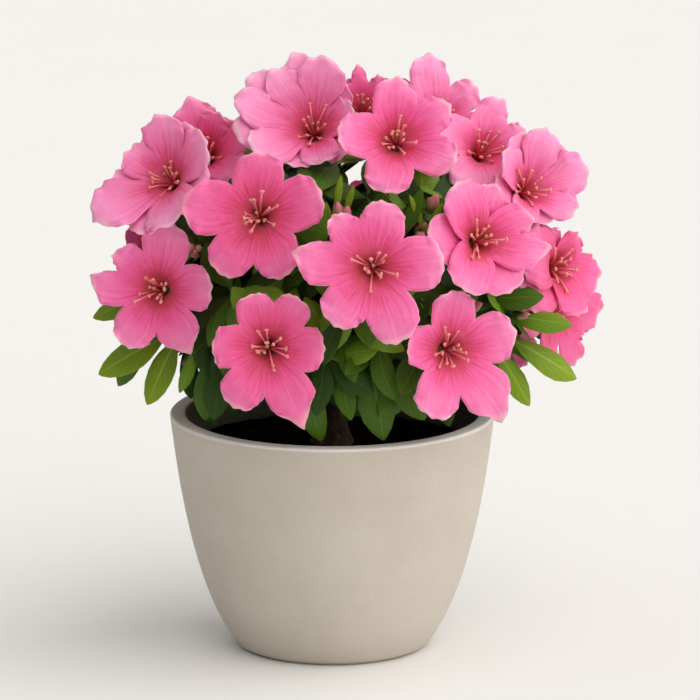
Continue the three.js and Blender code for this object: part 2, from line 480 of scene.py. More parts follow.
# Lines and edges of a leaf or petal, read from its own map: x runs across it and y along it.
def makeBladeGroup():
    group, start = newGroup("bladeLines", "ShaderNodeTree", map="Vector", cells=1.0, count=8.0,
                            alongShare=1.0, acrossShare=0.5, wander=0.3, ribWidth=0.06, marginWidth=0.14)
    split = partsOf(group, start["map"])
    along = split[1]
    spread = times(group, split[0], start["cells"])
    across = timesPlus(group, maths(group, "FRACT", spread), 2.0, -1.0)
    side = maths(group, "ABSOLUTE", across)
    wander = times(group, noiseOf(group, start["map"], 9.0), start["wander"])
    phase = timesPlus(group, side, start["acrossShare"], times(group, along, start["alongShare"]))
    phase = timesPlus(group, phase, start["count"], wander)
    ripple = maths(group, "SINE", times(group, phase, fullTurn))
    offRib = smoothRange(group, side, 0.0, start["ribWidth"])
    inside = maths(group, "SUBTRACT", 1.0, start["marginWidth"])
    margin = smoothRange(group, maths(group, "MAXIMUM", side, along), inside, 1.0)
    return closeGroup(group, "Float", across=across, along=along, cell=maths(group, "FLOOR", spread),
                      lines=smoothRange(group, ripple, 0.4, 1.0), rib=maths(group, "SUBTRACT", 1.0, offRib),
                      margin=margin)


# Soft patches, fine specks and grain, for fired clay, soil and bark
def makeMottleGroup():
    group, start = newGroup("mottle", "ShaderNodeTree", place="Vector", patchScale=20.0, speckScale=600.0,
                            speckShare=0.3, grainScale=900.0)
    place = start["place"]
    patch = noiseOf(group, place, start["patchScale"], 4.0, 0.55)
    dots = nodeValue(group, "ShaderNodeTexVoronoi", vector=place, scale=start["speckScale"])
    reach = times(group, start["speckShare"], noiseOf(group, place, 300.0, 1.0))
    return closeGroup(group, "Float", patch=smoothRange(group, patch, 0.3, 0.7),
                      speck=maths(group, "LESS_THAN", dots, reach),
                      grain=noiseOf(group, place, start["grainScale"], 2.0))


bladeGroup = makeBladeGroup()
mottleGroup = makeMottleGroup()


# Node trees that make shapes

# A tree that takes a shape and a material, with its own inputs between them
def newShapeTree(name, **inputs):
    return newGroup(name, "GeometryNodeTree", geometry="Geometry", **inputs, material="Material")


# Ends such a tree: smooth faces, plain meshes instead of copies, and the material.
def closeShapeTree(tree, start, shape, smooth=True):
    if smooth:
        shape = nodeValue(tree, "GeometryNodeSetShadeSmooth", geometry=shape)
    whole = nodeValue(tree, "GeometryNodeRealizeInstances", geometry=shape)
    painted = nodeValue(tree, "GeometryNodeSetMaterial", geometry=whole, material=start["material"])
    return closeGroup(tree, "Geometry", geometry=painted)


def attributeOf(tree, name, kind):
    return nodeValue(tree, "GeometryNodeInputNamedAttribute", {"data_type": kind}, name=name)


# Moves the shape's points out along their normals.
def pushOut(tree, shape, height):
    normal = nodeValue(tree, "GeometryNodeInputNormal")
    offset = nodeValue(tree, "ShaderNodeVectorMath", {"operation": "SCALE"}, normal, height)
    return nodeValue(tree, "GeometryNodeSetPosition", geometry=shape, offset=offset)


# Turns a flat outline, whose X is radius and Z height, about the Z axis, with a slight wander.
def makeTurningTree():
    tree, start = newShapeTree("turnedWall", outlinePoints=60, segments=160, wobble=0.0003)
    count = start["outlinePoints"]
    grid = nodeValue(tree, "GeometryNodeMeshGrid", sizeX=1.0, sizeY=1.0, verticesX=count,
                     verticesY=maths(tree, "ADD", start["segments"], 1))
    place = nodeValue(tree, "GeometryNodeInputPosition")
    spot = partsOf(tree, place)
    step = times(tree, maths(tree, "ADD", spot[0], 0.5), maths(tree, "SUBTRACT", count, 1))
    drawn = nodeValue(tree, "GeometryNodeSampleIndex", {"data_type": "FLOAT_VECTOR"}, value=place,
                      geometry=start["geometry"], index=maths(tree, "ROUND", step))
    radius = partsOf(tree, drawn)[0]
    height = partsOf(tree, drawn)[2]
    angle = times(tree, maths(tree, "ADD", spot[1], 0.5), fullTurn)
    cosine = maths(tree, "COSINE", angle)
    sine = maths(tree, "SINE", angle)
    compass = nodeValue(tree, "ShaderNodeCombineXYZ", x=cosine, y=sine, z=times(tree, height, 18))
    wander = times(tree, centred(tree, noiseOf(tree, compass, 0.9, 1.0)), start["wobble"])
    offAxis = maths(tree, "MINIMUM", times(tree, radius, 40), 1.0)   # 0 on the axis, where nothing wanders
    radius = timesPlus(tree, wander, offAxis, radius)
    place = nodeValue(tree, "ShaderNodeCombineXYZ", x=times(tree, radius, cosine),
                      y=times(tree, radius, sine), z=height)
    turned = nodeValue(tree, "GeometryNodeSetPosition", geometry=grid, position=place)
    closed = nodeValue(tree, "GeometryNodeMergeByDistance", geometry=turned, distance=1e-6)
    return closeShapeTree(tree, start, closed)


# Puts one of a set of shapes at each point, turned and sized by the point's own turn, size and kind.
def makeScatterTree():
    tree, start = newShapeTree("growShapes", shapes="Collection")
    shapes = nodeValue(tree, "GeometryNodeCollectionInfo", collection=start["shapes"],
                       separateChildren=True, resetChildren=True)
    copies = nodeValue(tree, "GeometryNodeInstanceOnPoints", points=start["geometry"], instance=shapes,
                       pickInstance=True, instanceIndex=attributeOf(tree, "kind", "INT"),
                       rotation=attributeOf(tree, "turn", "FLOAT_VECTOR"),
                       scale=attributeOf(tree, "size", "FLOAT_VECTOR"))
    return closeShapeTree(tree, start, copies, smooth=False)


# Sweeps a round section along lines of edges, thick as each point's own radius, and roughens it.
def makeStalkTree():
    tree, start = newShapeTree("sweptStalks", sides=6, knobs=0.0001, knobScale=300.0)
    lines = nodeValue(tree, "GeometryNodeMeshToCurve", mesh=start["geometry"])
    section = nodeValue(tree, "GeometryNodeCurvePrimitiveCircle", resolution=start["sides"], radius=1.0)
    swept = nodeValue(tree, "GeometryNodeCurveToMesh", curve=lines, profileCurve=section,
                      scale=attributeOf(tree, "radius", "FLOAT"), fillCaps=True)
    place = nodeValue(tree, "GeometryNodeInputPosition")
    rough = centred(tree, noiseOf(tree, place, start["knobScale"], 2.0))
    return closeShapeTree(tree, start, pushOut(tree, swept, times(tree, rough, start["knobs"])))


# Raises a skin along its normals by a noise and by the ridges between cells.
def makeReliefTree():
    tree, start = newShapeTree("relief", depth=0.0004, scale=260.0)
    place = nodeValue(tree, "GeometryNodeInputPosition")
    coarse = centred(tree, noiseOf(tree, place, start["scale"], 3.0))
    ridges = nodeValue(tree, "ShaderNodeTexVoronoi", {"feature": "DISTANCE_TO_EDGE"}, vector=place,
                       scale=times(tree, start["scale"], 1.4))
    height = times(tree, timesPlus(tree, ridges, 0.8, coarse), start["depth"])
    return closeShapeTree(tree, start, pushOut(tree, start["geometry"], height))


turningTree = makeTurningTree()
scatterTree = makeScatterTree()
stalkTree = makeStalkTree()
reliefTree = makeReliefTree()


# Makes one piece of many copies of a few shapes, given as meshes. Spots are (axes, place in mm, size in mm
# along each axis, number of the shape).
def scatterPiece(name, spots, meshes, material, replaced=()):
    shapes = bpy.data.collections.new(name + "Shapes")
    for number, mesh in enumerate(meshes):
        shapes.objects.link(bpy.data.objects.new("shape%02d" % number, mesh))
    mesh = bpy.data.meshes.new(name)
    mesh.from_pydata([Vector(place) * mm for axes, place, size, kind in spots], [], [])
    turns = [part for axes, place, size, kind in spots for part in axes.to_euler("XYZ")]
    sizes = [part * mm for axes, place, size, kind in spots for part in size]
    giveAttribute(mesh, "turn", "FLOAT_VECTOR", turns)
    giveAttribute(mesh, "size", "FLOAT_VECTOR", sizes)
    giveAttribute(mesh, "kind", "INT", [kind for axes, place, size, kind in spots])
    piece = newPiece(name, mesh)
    growNodes(piece, scatterTree, shapes=shapes, material=material)
    settle(piece)
    for shape in list(shapes.objects):
        bpy.data.objects.remove(shape)
    bpy.data.collections.remove(shapes)
    finishPiece(piece, replaced)


# Makes one piece of many stalks. Strands are lists of (point in mm, radius in mm).
def stalkPiece(name, strands, material, look):
    verts = []
    edges = []
    radii = []
    for strand in strands:
        first = len(verts)
        verts += [point * mm for point, radius in strand]
        radii += [radius * mm for point, radius in strand]
        edges += [(first + step, first + step + 1) for step in range(len(strand) - 1)]
    mesh = bpy.data.meshes.new(name)
    mesh.from_pydata(verts, edges, [])
    giveAttribute(mesh, "radius", "FLOAT", radii)
    piece = newPiece(name, mesh)
    growNodes(piece, stalkTree, material=material, sides=look["sides"], knobs=look["knobs"] * mm,
              knobScale=look["knobScale"])
    finishPiece(settle(piece))


# Pot: turned from its profile, in mm

pot = {
    "height": 107, "footRadius": 41.5, "wall": 7, "floor": 9, "lipRadius": 72.6, "lipBulge": 0.3,
    "bellyBottom": (44, 2), "bellyLow": (60.5, 25), "bellyHigh": (67.4, 62),
    "edgeRadius": 1.3,     # of the lip's two rounded edges
    "innerStart": 3,       # mm above the floor, where the inner wall starts
    "wobble": 0.5,         # mm that a hand-turned wall wanders in all
    "bellySteps": 44, "edgeSteps": 6, "segments": 180,
    # the foot's corner as (out from its radius, height), and the floor's as (in from the wall, above it)
    "footCorner": [(-1.2, 0), (-0.4, 0.15), (0, 0.7), (0.9, 1.2), (1.9, 1.45)],
    "floorCorner": [(3, 0.8), (8, 0)],
    "clay": rgb(0.53, 0.478, 0.403), "clayDeep": rgb(0.465, 0.412, 0.343),
    "clayPale": rgb(0.575, 0.525, 0.45), "speck": rgb(0.40, 0.345, 0.275),
    # the pale lip colour is a painted highlight for the lip's flat top, and the near-black one is painted
    # shade for the inner wall above the soil
    "lipGlaze": rgb(0.88, 0.85, 0.80), "stain": rgb(0.10, 0.08, 0.055),
    # where colours fade in, from the first to the second in mm: heights, and a radius. They bound painted
    # shade towards the foot, a painted highlight on the lip's flat top, and painted shade on the inner wall
    # above the soil
    "footShade": (22, 0), "lipBand": (105.2, 106.6), "stainHeight": (80, 84), "stainRadius": (66.8, 65.5),
}


def cubicPoint(a, b, c, d, share):
    rest = 1 - share
    weights = (rest ** 3, 3 * rest * rest * share, 3 * rest * share * share, share ** 3)
    return tuple(sum(w * p[i] for w, p in zip(weights, (a, b, c, d))) for i in (0, 1))


# The pot's half section as (radius, 0, height), from the middle underneath to the middle of its floor
def potOutline():
    height = pot["height"]
    wall = pot["wall"]
    floor = pot["floor"]
    edge = pot["edgeRadius"]
    foot = pot["footRadius"]
    steps = pot["bellySteps"]
    curve = (pot["bellyBottom"], pot["bellyLow"], pot["bellyHigh"], (pot["lipRadius"], height - wall / 2))
    outer = [cubicPoint(*curve, step / steps) for step in range(steps + 1)]
    line = [(0, 0), (foot * 0.5, 0)] + [(foot + out, level) for out, level in pot["footCorner"]] + outer
    outside = pot["lipRadius"] + pot["lipBulge"] - edge
    for middle, first in ((outside, 0), (pot["lipRadius"] - wall + edge, 90)):
        for step in range(pot["edgeSteps"] + 1):
            angle = math.radians(first + 90 * step / pot["edgeSteps"])
            line.append((middle + edge * math.cos(angle), height - edge + edge * math.sin(angle)))
    inner = [(radius - wall, level) for radius, level in outer if level > floor + pot["innerStart"]]
    line += inner[::-1]
    line += [(inner[0][0] - inward, floor + level) for inward, level in pot["floorCorner"]] + [(0, floor)]
    return [(radius * mm, 0, level * mm) for radius, level in line]


def makePotMaterial():
    material, tree, shader = newMaterial("stoneware", roughness=0.72, specularIorLevel=0.35)
    place = objectPlace(tree)
    mottle = groupOf(tree, mottleGroup, place=place, patchScale=26.0, speckScale=900.0, speckShare=0.5)
    height = partsOf(tree, place)[2]
    flat = nodeValue(tree, "ShaderNodeVectorMath", {"operation": "MULTIPLY"}, place, (1.0, 1.0, 0.0))
    out = nodeValue(tree, "ShaderNodeVectorMath", {"operation": "LENGTH"}, flat)

    def fade(value, name):
        return smoothRange(tree, value, pot[name][0] * mm, pot[name][1] * mm)

    band = noiseOf(tree, stretched(tree, place, (6.0, 6.0, 150.0)), 1.0)
    shade = blendColour(tree, mottle["patch"], pot["clay"], pot["clayPale"])
    shade = layOver(tree, shade, pot["clayDeep"], band, 0.35)
    # painted shade: the clay darker towards the foot
    shade = layOver(tree, shade, pot["clayDeep"], fade(height, "footShade"), 0.45)
    # painted highlight: the lip's flat top made pale, for the light it catches
    shade = layOver(tree, shade, pot["lipGlaze"], fade(height, "lipBand"), 0.85)
    shade = layOver(tree, shade, pot["speck"], mottle["speck"], 0.3)
    # painted shade: the inner wall above the soil darkened almost to black, where shade falls inside the rim
    shade = layOver(tree, shade, pot["stain"], fade(out, "stainRadius"), fade(height, "stainHeight"), 0.85)
    rough = timesPlus(tree, mottle["grain"], 0.14, 0.66)
    height = timesPlus(tree, band, 0.6, mottle["grain"])
    dress(tree, shader, shade, height, strength=0.22, depth=0.0004, rough=rough)
    return material


def makePot():
    outline = potOutline()
    mesh = bpy.data.meshes.new("potBody")
    mesh.from_pydata(outline, [(step, step + 1) for step in range(len(outline) - 1)], [])
    piece = newPiece("potBody", mesh)
    growNodes(piece, turningTree, material=makePotMaterial(), outlinePoints=len(outline),
              segments=pot["segments"], wobble=pot["wobble"] * mm)
    settle(piece)
    faceOut(piece.data)
    finishPiece(piece, ["pot"])


# Soil: a hummocky disc with crumbs strewn on it, in mm

soil = {
    "top": 92, "radius": 61.6, "depth": 6, "rings": 40, "segments": 96, "seed": 23,
    "hummock": 1.7, "hummockScale": 0.11, "hummockLayer": 3.7,
    "fineShare": 0.35, "fineScale": 0.42, "fineLayer": 8.1, "sunk": 0.9, "mound": 2.2, "moundRadius": 16,
    "crumbs": 900, "crumbKinds": 4, "crumbSize": (0.9, 3.1), "crumbRough": (0.72, 1.25), "crumbFlat": 0.75,
    "crumbEdge": 2, "crumbLift": 0.2, "crumbUpright": 0.6,
    # these colours are far darker than real compost: painted shade, for the shade that falls on the soil
    # under the crown
    "dark": rgb(0.003, 0.002, 0.0013), "brown": rgb(0.009, 0.0055, 0.003), "fibre": rgb(0.04, 0.025, 0.013),
}


def soilHeight(x, y):
    def bumps(scale, layer):
        return noise.noise(Vector((x * scale, y * scale, layer))) * soil["hummock"]

    rough = bumps(soil["hummockScale"], soil["hummockLayer"])
    fine = bumps(soil["fineScale"], soil["fineLayer"]) * soil["fineShare"]
    mound = soil["mound"] * math.exp(-(x * x + y * y) / soil["moundRadius"] ** 2)
    return soil["top"] + rough + fine + mound - soil["sunk"]


def makeSoilMaterial():
    material, tree, shader = newMaterial("compost", roughness=0.95, specularIorLevel=0.03)
    mottle = groupOf(tree, mottleGroup, place=objectPlace(tree), patchScale=170.0, speckScale=420.0,
                     speckShare=0.3, grainScale=1400.0)
    # painted shade: the compost's colours are darkened to stand for the shade under the crown
    shade = blendColour(tree, mottle["patch"], soil["dark"], soil["brown"])
    shade = layOver(tree, shade, soil["fibre"], mottle["speck"], 0.5)
    dress(tree, shader, shade, mottle["grain"], strength=0.7, depth=0.0008)
    return material


def makeSoilBed(material):
    segments = soil["segments"]
    levels = [(ring / soil["rings"], 0) for ring in range(1, soil["rings"] + 1)]
    levels += [(1.0, soil["depth"]), (0.5, soil["depth"])]
    verts = [(0, 0, soilHeight(0, 0))]
    for share, sunk in levels:
        for step in range(segments):
            x, y = onCircle(soil["radius"] * share, fullTurn * step / segments)
            verts.append((x, y, soil["top"] - sunk if sunk else soilHeight(x, y)))
    verts.append((0, 0, soil["top"] - soil["depth"]))
    last = len(verts) - 1
    steps = [(step, (step + 1) % segments) for step in range(segments)]
    faces = [(0, 1 + step, 1 + after) for step, after in steps]
    faces += sheetFaces(range(segments + 1), range(len(levels)), first=1, turned=False, closed=True)[0]
    faces += [(last - segments + after, last - segments + step, last) for step, after in steps]
    mesh = newMesh("soilBed", [Vector(vert) * mm for vert in verts], faces)
    faceOut(mesh)
    finishPiece(newPiece("soilBed", mesh, material), ["soil"])


def crumbMesh(number, rng):
    work = bmesh.new()
    bmesh.ops.create_icosphere(work, subdivisions=1, radius=0.5)
    for vert in work.verts:
        vert.co *= rng.uniform(*soil["crumbRough"])
        vert.co.z *= soil["crumbFlat"]
    return pour(work, bpy.data.meshes.new("crumb%d" % number))


def makeCrumbs(material):
    rng = random.Random(soil["seed"])
    small, large = soil["crumbSize"]
    kinds = soil["crumbKinds"]
    spots = []
    for number in range(soil["crumbs"]):
        radius = (soil["radius"] - soil["crumbEdge"]) * math.sqrt(rng.random())
        x, y = onCircle(radius, rng.uniform(0, fullTurn))
        size = small + (large - small) * rng.random() ** 3
        axes = uprightFrame(Vector((rng.uniform(-1, 1), rng.uniform(-1, 1), soil["crumbUpright"])))
        place = (x, y, soilHeight(x, y) + size * soil["crumbLift"])
        spots.append((axes, place, [size] * 3, rng.randrange(kinds)))
    crumbs = [crumbMesh(number, rng) for number in range(kinds)]
    scatterPiece("soilCrumbs", spots, crumbs, material)


def makeSoil():
    material = makeSoilMaterial()
    makeSoilBed(material)
    makeCrumbs(material)
    print("soil filled")


# Blossom. Each bloom in front is given by where its throat shows from the front, in mm right of the pot's
# axis and up the picture, how far back it lies, the way it faces as (bearing, lift), how deep its cup is,
# whether its petals are loose, its tint's number and, where it differs, its share for notchShare. Its
# petals' tips are given as they show, in mm right and up of the throat; a third number there is how pointed
# that petal is.

frontBlooms = [
    {"throat": (-71, 206), "back": -24, "faces": (-34, 33), "cup": 15, "loose": 1, "tint": 2,
     "tips": [(15, 18), (5, 28), (-6, 31), (-15, 24), (-23, 16), (-30, 1), (-35, -16, 0.05), (-13, -22),
              (1, -19), (13, -6)]},
    {"throat": (-56, 217), "back": -2, "faces": (-10, 38), "cup": 13, "loose": 1, "tint": 1,
     "tips": [(-8, 28, 0.12), (4, 22), (12, 18), (20, 9), (17, -6), (-14, 12), (0, -10)]},
    {"throat": (-8.2, 227.9), "back": -22, "faces": (-4, 38), "cup": 15, "loose": 1, "tint": 2,
     "tips": [(17, 14), (11, 27), (3, 35), (-8, 37, 0.06), (-19, 29), (-29, 27), (-35, 16), (-36, 4),
              (-28, -6), (-13, -11), (3, -11), (16, -5)]},
    {"throat": (28.4, 223.9), "back": -44, "faces": (4, 30), "cup": 8, "tint": 1,
     "tips": [(1, 30), (24, 18), (27, -7), (-5, -22), (-26, 5)]},
    {"throat": (46.5, 232.0), "back": 4, "faces": (22, 42), "cup": 8, "tint": 2,
     "tips": [(-3, 32), (17, 19), (21, 0), (0, -17), (-22, 8)]},
    {"throat": (65.5, 218.7), "back": -11, "faces": (28, 38), "cup": 8, "tint": 2,
     "tips": [(11, 25), (21, 13), (18, -9), (-6, -18), (-18, 14)]},
    {"throat": (85.2, 202.5), "back": -24, "faces": (38, 24), "cup": 9, "loose": 1, "tint": 2,
     "tips": [(-9, 17), (1, 27), (12, 28), (20, 21), (30, 9), (25, -7), (14, -12), (2, -12), (-10, 0)]},
    {"throat": (-32.5, 191.1), "back": -64, "faces": (-8, 17), "cup": 5, "tint": 0,
     "tips": [(0, 29), (28, 10), (10, -27), (-17, -26), (-34, 6, 0.08)]},
    {"throat": (18.0, 168.4), "back": -88, "faces": (2, 13), "cup": 5, "tint": 1,
     "tips": [(4, 30), (32, 3), (11, -34), (-17, -26), (-34, 7, 0.08), (-18, 23)]},
    {"throat": (64.3, 180.0), "back": -62, "faces": (28, 20), "cup": 8, "loose": 1, "tint": 1,
     "tips": [(-9, 26), (10, 26), (26, 10), (32, -2, 0.15), (17, -22), (-5, -22), (-20, 2)]},
    {"throat": (-76.3, 158.7), "back": -48, "faces": (-18, 9), "cup": 6, "tint": 1,
     "tips": [(3, 30), (23, 1), (11, -27, 0.1), (-16, -25), (-31, 6, 0.08), (-22, 16)]},
    {"throat": (-28.6, 132.9), "back": -84, "faces": (-3, 9), "cup": 5, "tint": 0, "notch": 0.67,
     "tips": [(-6, 24), (12, 23), (25, -1), (14, -33, 0.18), (-16, -27), (-25, 0)]},
    {"throat": (50.8, 132.0), "back": -76, "faces": (22, 7), "cup": 6, "tint": 1, "notch": 0.64,
     "tips": [(4, 26), (31, 8), (25, -30, 0.18), (-5, -31), (-17, 2)]},
    {"throat": (97.4, 168.4), "back": -16, "faces": (52, 10), "cup": 9, "loose": 1, "tint": 0,
     "tips": [(4, 17), (14, 12), (25, -5), (14, -21), (-8, -14), (-12, 8)]},
    {"throat": (95.8, 151.8), "back": -4, "faces": (56, -14), "cup": 7, "tint": 0,
     "tips": [(25, -10), (16, -26), (2, -24), (-9, 0), (14, 9)]},
    {"throat": (13, 237), "back": 12, "faces": (6, 36), "cup": 6, "tint": 0,
     "tips": [(7, 15), (-1, 23), (-10, 15), (-12, -9), (10, -11)]},
]

blossom = {
    # the throat in mm: radius, depth, how soon it flattens, how far under the bloom's plane it shows
    "throatRadius": 1.7, "throatDepth": 10, "throatFall": 3.5, "throatShows": 6,
    # where petals part, in shares of their reach: farther out where a gap is under a fifth, in degrees
    "notchShare": 0.61, "notchVary": (0.94, 1.06), "notchMost": 0.9, "gapPull": 0.35, "fifth": 72,
    # a petal's outline, in shares of its length, with mostHalf in degrees and shortest and longest in mm
    "widthShare": 0.385, "widestAt": 0.30, "mostHalf": 50, "room": 0.80, "shortest": 17.0, "longest": 41.0,
    "leastLobe": 1.12, "pointVary": 0.04, "pointWidth": 0.7, "pointPower": 1.5, "pointLevel": 0.35,
    "edgeWave": 0.02, "edgeTurns": 2.3, "edgeRate": 3, "tipWave": 0.6, "tipTurns": 1.4,
    # its rows and columns of faces, and its thickness and weld in mm
    "tubeRows": 8, "tubePower": 1.3, "lobeRows": 10, "across": 12, "mapMargin": 0.02,
    "wall": 0.28, "weld": 0.01,
    # its relief: heights in mm, with the powers, rates and turns that shape them
    "cupPower": 1.6, "reflex": 2.4, "reflexPower": 5, "arch": 1.5, "archLevel": 0.35, "archFade": 0.4,
    "riseRate": 2.2, "ruffle": 1.0, "rufflePower": 2.4, "waves": 1.6, "rimRuffle": 0.9, "tipWaves": 0.9,
    "sway": 1.8, "swayPower": 1.5, "alternate": 0.3, "pleat": 0.12, "pleatTurns": 9.5,
    "crease": 0.55, "creaseWidth": 0.13, "creaseFade": 0.5, "tilt": 0.75, "tiltVary": 0.6, "tiltRate": 3,
    "upperLobe": 25,       # degrees from straight up in which a petal has spots
    # how far ahead of it and behind its throat, in mm, a bloom keeps leaves off; the unseen blooms' tints
    "clearAhead": 26, "clearBehind": 5, "tintDeal": (0, 1, 1, 2), "seed": 30, "petalSeed": 1000,
}

# What differs in a bloom whose petals overlap, as a semi-double's do
looseLook = {
    "ruffle": 1.1, "waves": 2.0, "room": 1.25, "notchShare": 0.56, "widthShare": 0.42, "widestAt": 0.40,
    "sway": 0.8, "alternate": 0.2, "sunk": 2.8, "splitFrom": 6, "splitNotch": 0.46,
}

# The blooms that the photograph doesn't show, strewn over the rest of the dome; none within frontEdge
restLook = {
    "attempts": 6000, "petals": 5, "lift": (-14, 78), "frontEdge": 84, "frontLean": 0.1, "height": (140, 241),
    "spacing": 40, "reach": (27, 32), "reachVary": (0.9, 1.1), "cup": (3, 9), "turn": 12,
    "angleVary": (-5, 5), "checkedAt": (0.4, 0.75, 1.0), "point": 0.15, "sideways": 0.2, "upwards": 0.25,
    "looseShare": 0.3, "gapRoom": 3,
}


# Whether a place in mm would show in one of the picture's gaps, or nearer to it than the room
def showsInGap(place, room=0):
    right, up, near = onPicture(place)
    return any(math.hypot(right - x, up - level) < radius + room for x, level, radius in clearSpots)


# Places along a bloom's lobes, where a petal could show
def lobePlaces(at, out, lobes):
    axes = uprightFrame(out)
    for angle, length, point in lobes:
        way = axes @ Vector((*onCircle(1, math.radians(angle)), 0))
        for share in restLook["checkedAt"]:
            yield at + way * length * share


def restOfBlooms(rng, placed):
    rest = []
    lowest, highest = restLook["height"]
    for attempt in range(restLook["attempts"]):
        bearing = rng.uniform(-180, 180)
        lift = rng.uniform(*restLook["lift"])
        if abs(bearing) < restLook["frontEdge"] - lift * restLook["frontLean"]:
            continue
        out = facing(bearing, lift)
        at = crown["centre"] + out * (1 / domeShare(crown["centre"] + out))
        if not lowest < at.z < highest or min((at - other).length for other in placed) < restLook["spacing"]:
            continue
        reach = rng.uniform(*restLook["reach"])
        turn = rng.uniform(-restLook["turn"], restLook["turn"])
        lobes = []
        for step in range(restLook["petals"]):
            angle = 90 + turn + blossom["fifth"] * step + rng.uniform(*restLook["angleVary"])
            length = reach * rng.uniform(*restLook["reachVary"])
            lobes.append((angle, length, restLook["point"] * rng.random() ** 3))
        slope = Vector([part / size for part, size in zip(out, crownSizes(True))]).normalized()
        sideways = swings(rng, restLook["sideways"], 2)
        slope = (slope + Vector((*sideways, rng.uniform(0, restLook["upwards"])))).normalized()
        if any(showsInGap(place, restLook["gapRoom"]) for place in lobePlaces(at, slope, lobes)):
            continue
        placed.append(at)
        loose = rng.random() < restLook["looseShare"]
        cup = rng.uniform(*restLook["cup"])
        rest.append({"at": at, "out": slope, "lobes": lobes, "loose": loose, "cup": cup})
    return rest


# Where a front bloom lies, and its lobes as (degrees, length, point) in its own plane
def traceBloom(plan):
    out = facing(*plan["faces"])
    axes = uprightFrame(out)
    throat, shrink = seenAt(*plan["throat"], plan["back"])
    rightward = onPicture(axes.col[0])
    upward = onPicture(axes.col[1])
    outward = onPicture(out)
    spread = rightward[0] * upward[1] - rightward[1] * upward[0]
    rise = blossom["throatShows"] + plan["cup"] - blossom["reflex"]
    lobes = []
    for tip in plan["tips"]:
        right = tip[0] * shrink - outward[0] * rise
        up = tip[1] * shrink - outward[1] * rise
        a = (right * upward[1] - up * upward[0]) / spread
        b = (up * rightward[0] - right * rightward[1]) / spread
        length = min(blossom["longest"], max(blossom["shortest"], math.hypot(a, b)))
        lobes.append((math.degrees(math.atan2(b, a)), length, tip[2] if len(tip) > 2 else 0.0))
    return {"loose": 0, **plan, "at": throat + out * blossom["throatShows"], "out": out, "lobes": lobes}


def planBlooms():
    rng = random.Random(blossom["seed"])
    plans = [traceBloom(plan) for plan in frontBlooms]
    plans += restOfBlooms(rng, [plan["at"] for plan in plans])
    for number, plan in enumerate(plans):
        plan["axes"] = uprightFrame(plan["out"])
        plan["reach"] = sum(lobe[1] for lobe in plan["lobes"]) / len(plan["lobes"])
        plan.setdefault("notch", blossom["notchShare"])
        plan.setdefault("tint", rng.choice(blossom["tintDeal"]))
        plan["seed"] = number
    print("blooms planned:", len(plans))
    return plans


def wave(turns):
    return np.sin(fullTurn * turns)


# One petal laid along Y from the throat: rows of (x, y, place on the map, share along its free part, share
# along its tip, which starts where it is widest). Across runs from -1 to 1.
def petalRows(petal, across, look):
    half = petal["half"]
    length = petal["length"]
    notch = look["notch"]
    notchLine = petal["notchLine"]
    throat = look["throatRadius"]
    widest = notch + (length - notch) * look["widestAt"]
    room = widest * np.tan(np.minimum(half, math.radians(look["mostHalf"]))) * look["room"]
    wide = np.minimum(look["widthShare"] * length, room)
    rows = []
    for row in range(look["tubeRows"] + 1):
        share = (row / look["tubeRows"]) ** look["tubePower"]
        radius = throat + (notchLine - throat) * share
        mapAlong = (throat + (notch - throat) * share) / look["spread"]
        rows.append((radius * np.sin(across * half), radius * np.cos(across * half), mapAlong, 0.0, 0.0))
    start = notchLine * np.sin(half)
    for row in range(1, look["lobeRows"] + 1):
        free = row / look["lobeRows"]
        along = notchLine + (length - notchLine) * free
        tip = max(0.0, (free - look["widestAt"]) / (1 - look["widestAt"]))
        grown = min(1.0, free / look["widestAt"])
        if free < look["widestAt"]:
            straightX = across * (start + (wide - start) * math.sin(math.pi / 2 * free / look["widestAt"]))
            straightY = along
        else:
            straightX = across * wide * np.sqrt(1 - tip ** 2 / 2)
            straightY = widest + (length - widest) * tip * np.sqrt(1 - across ** 2 / 2)
        blend = grown * grown * (3 - 2 * grown)
        x = (1 - blend) * along * np.sin(across * half) + blend * straightX
        y = (1 - blend) * along * np.cos(across * half) + blend * straightY
        peak = np.clip(1 - np.abs(x) / (look["pointWidth"] * wide), 0, 1) ** look["pointPower"]
        y = y + petal["point"] * length * (peak - look["pointLevel"]) * tip ** 2
        edge = 1 + look["edgeWave"] * wave(look["edgeTurns"] * free + petal["edgePhase"])
        x = x * (1 + (edge - 1) * np.abs(across) ** 2 * min(1, look["edgeRate"] * free))
        tipWave = wave(look["tipTurns"] * across + petal["tipPhase"])
        y = y + look["edgeWave"] * length * look["tipWave"] * tipWave * tip ** 2
        rows.append((x, y, (notch + (look["spread"] - notch) * free) / look["spread"], free, tip))
    return rows


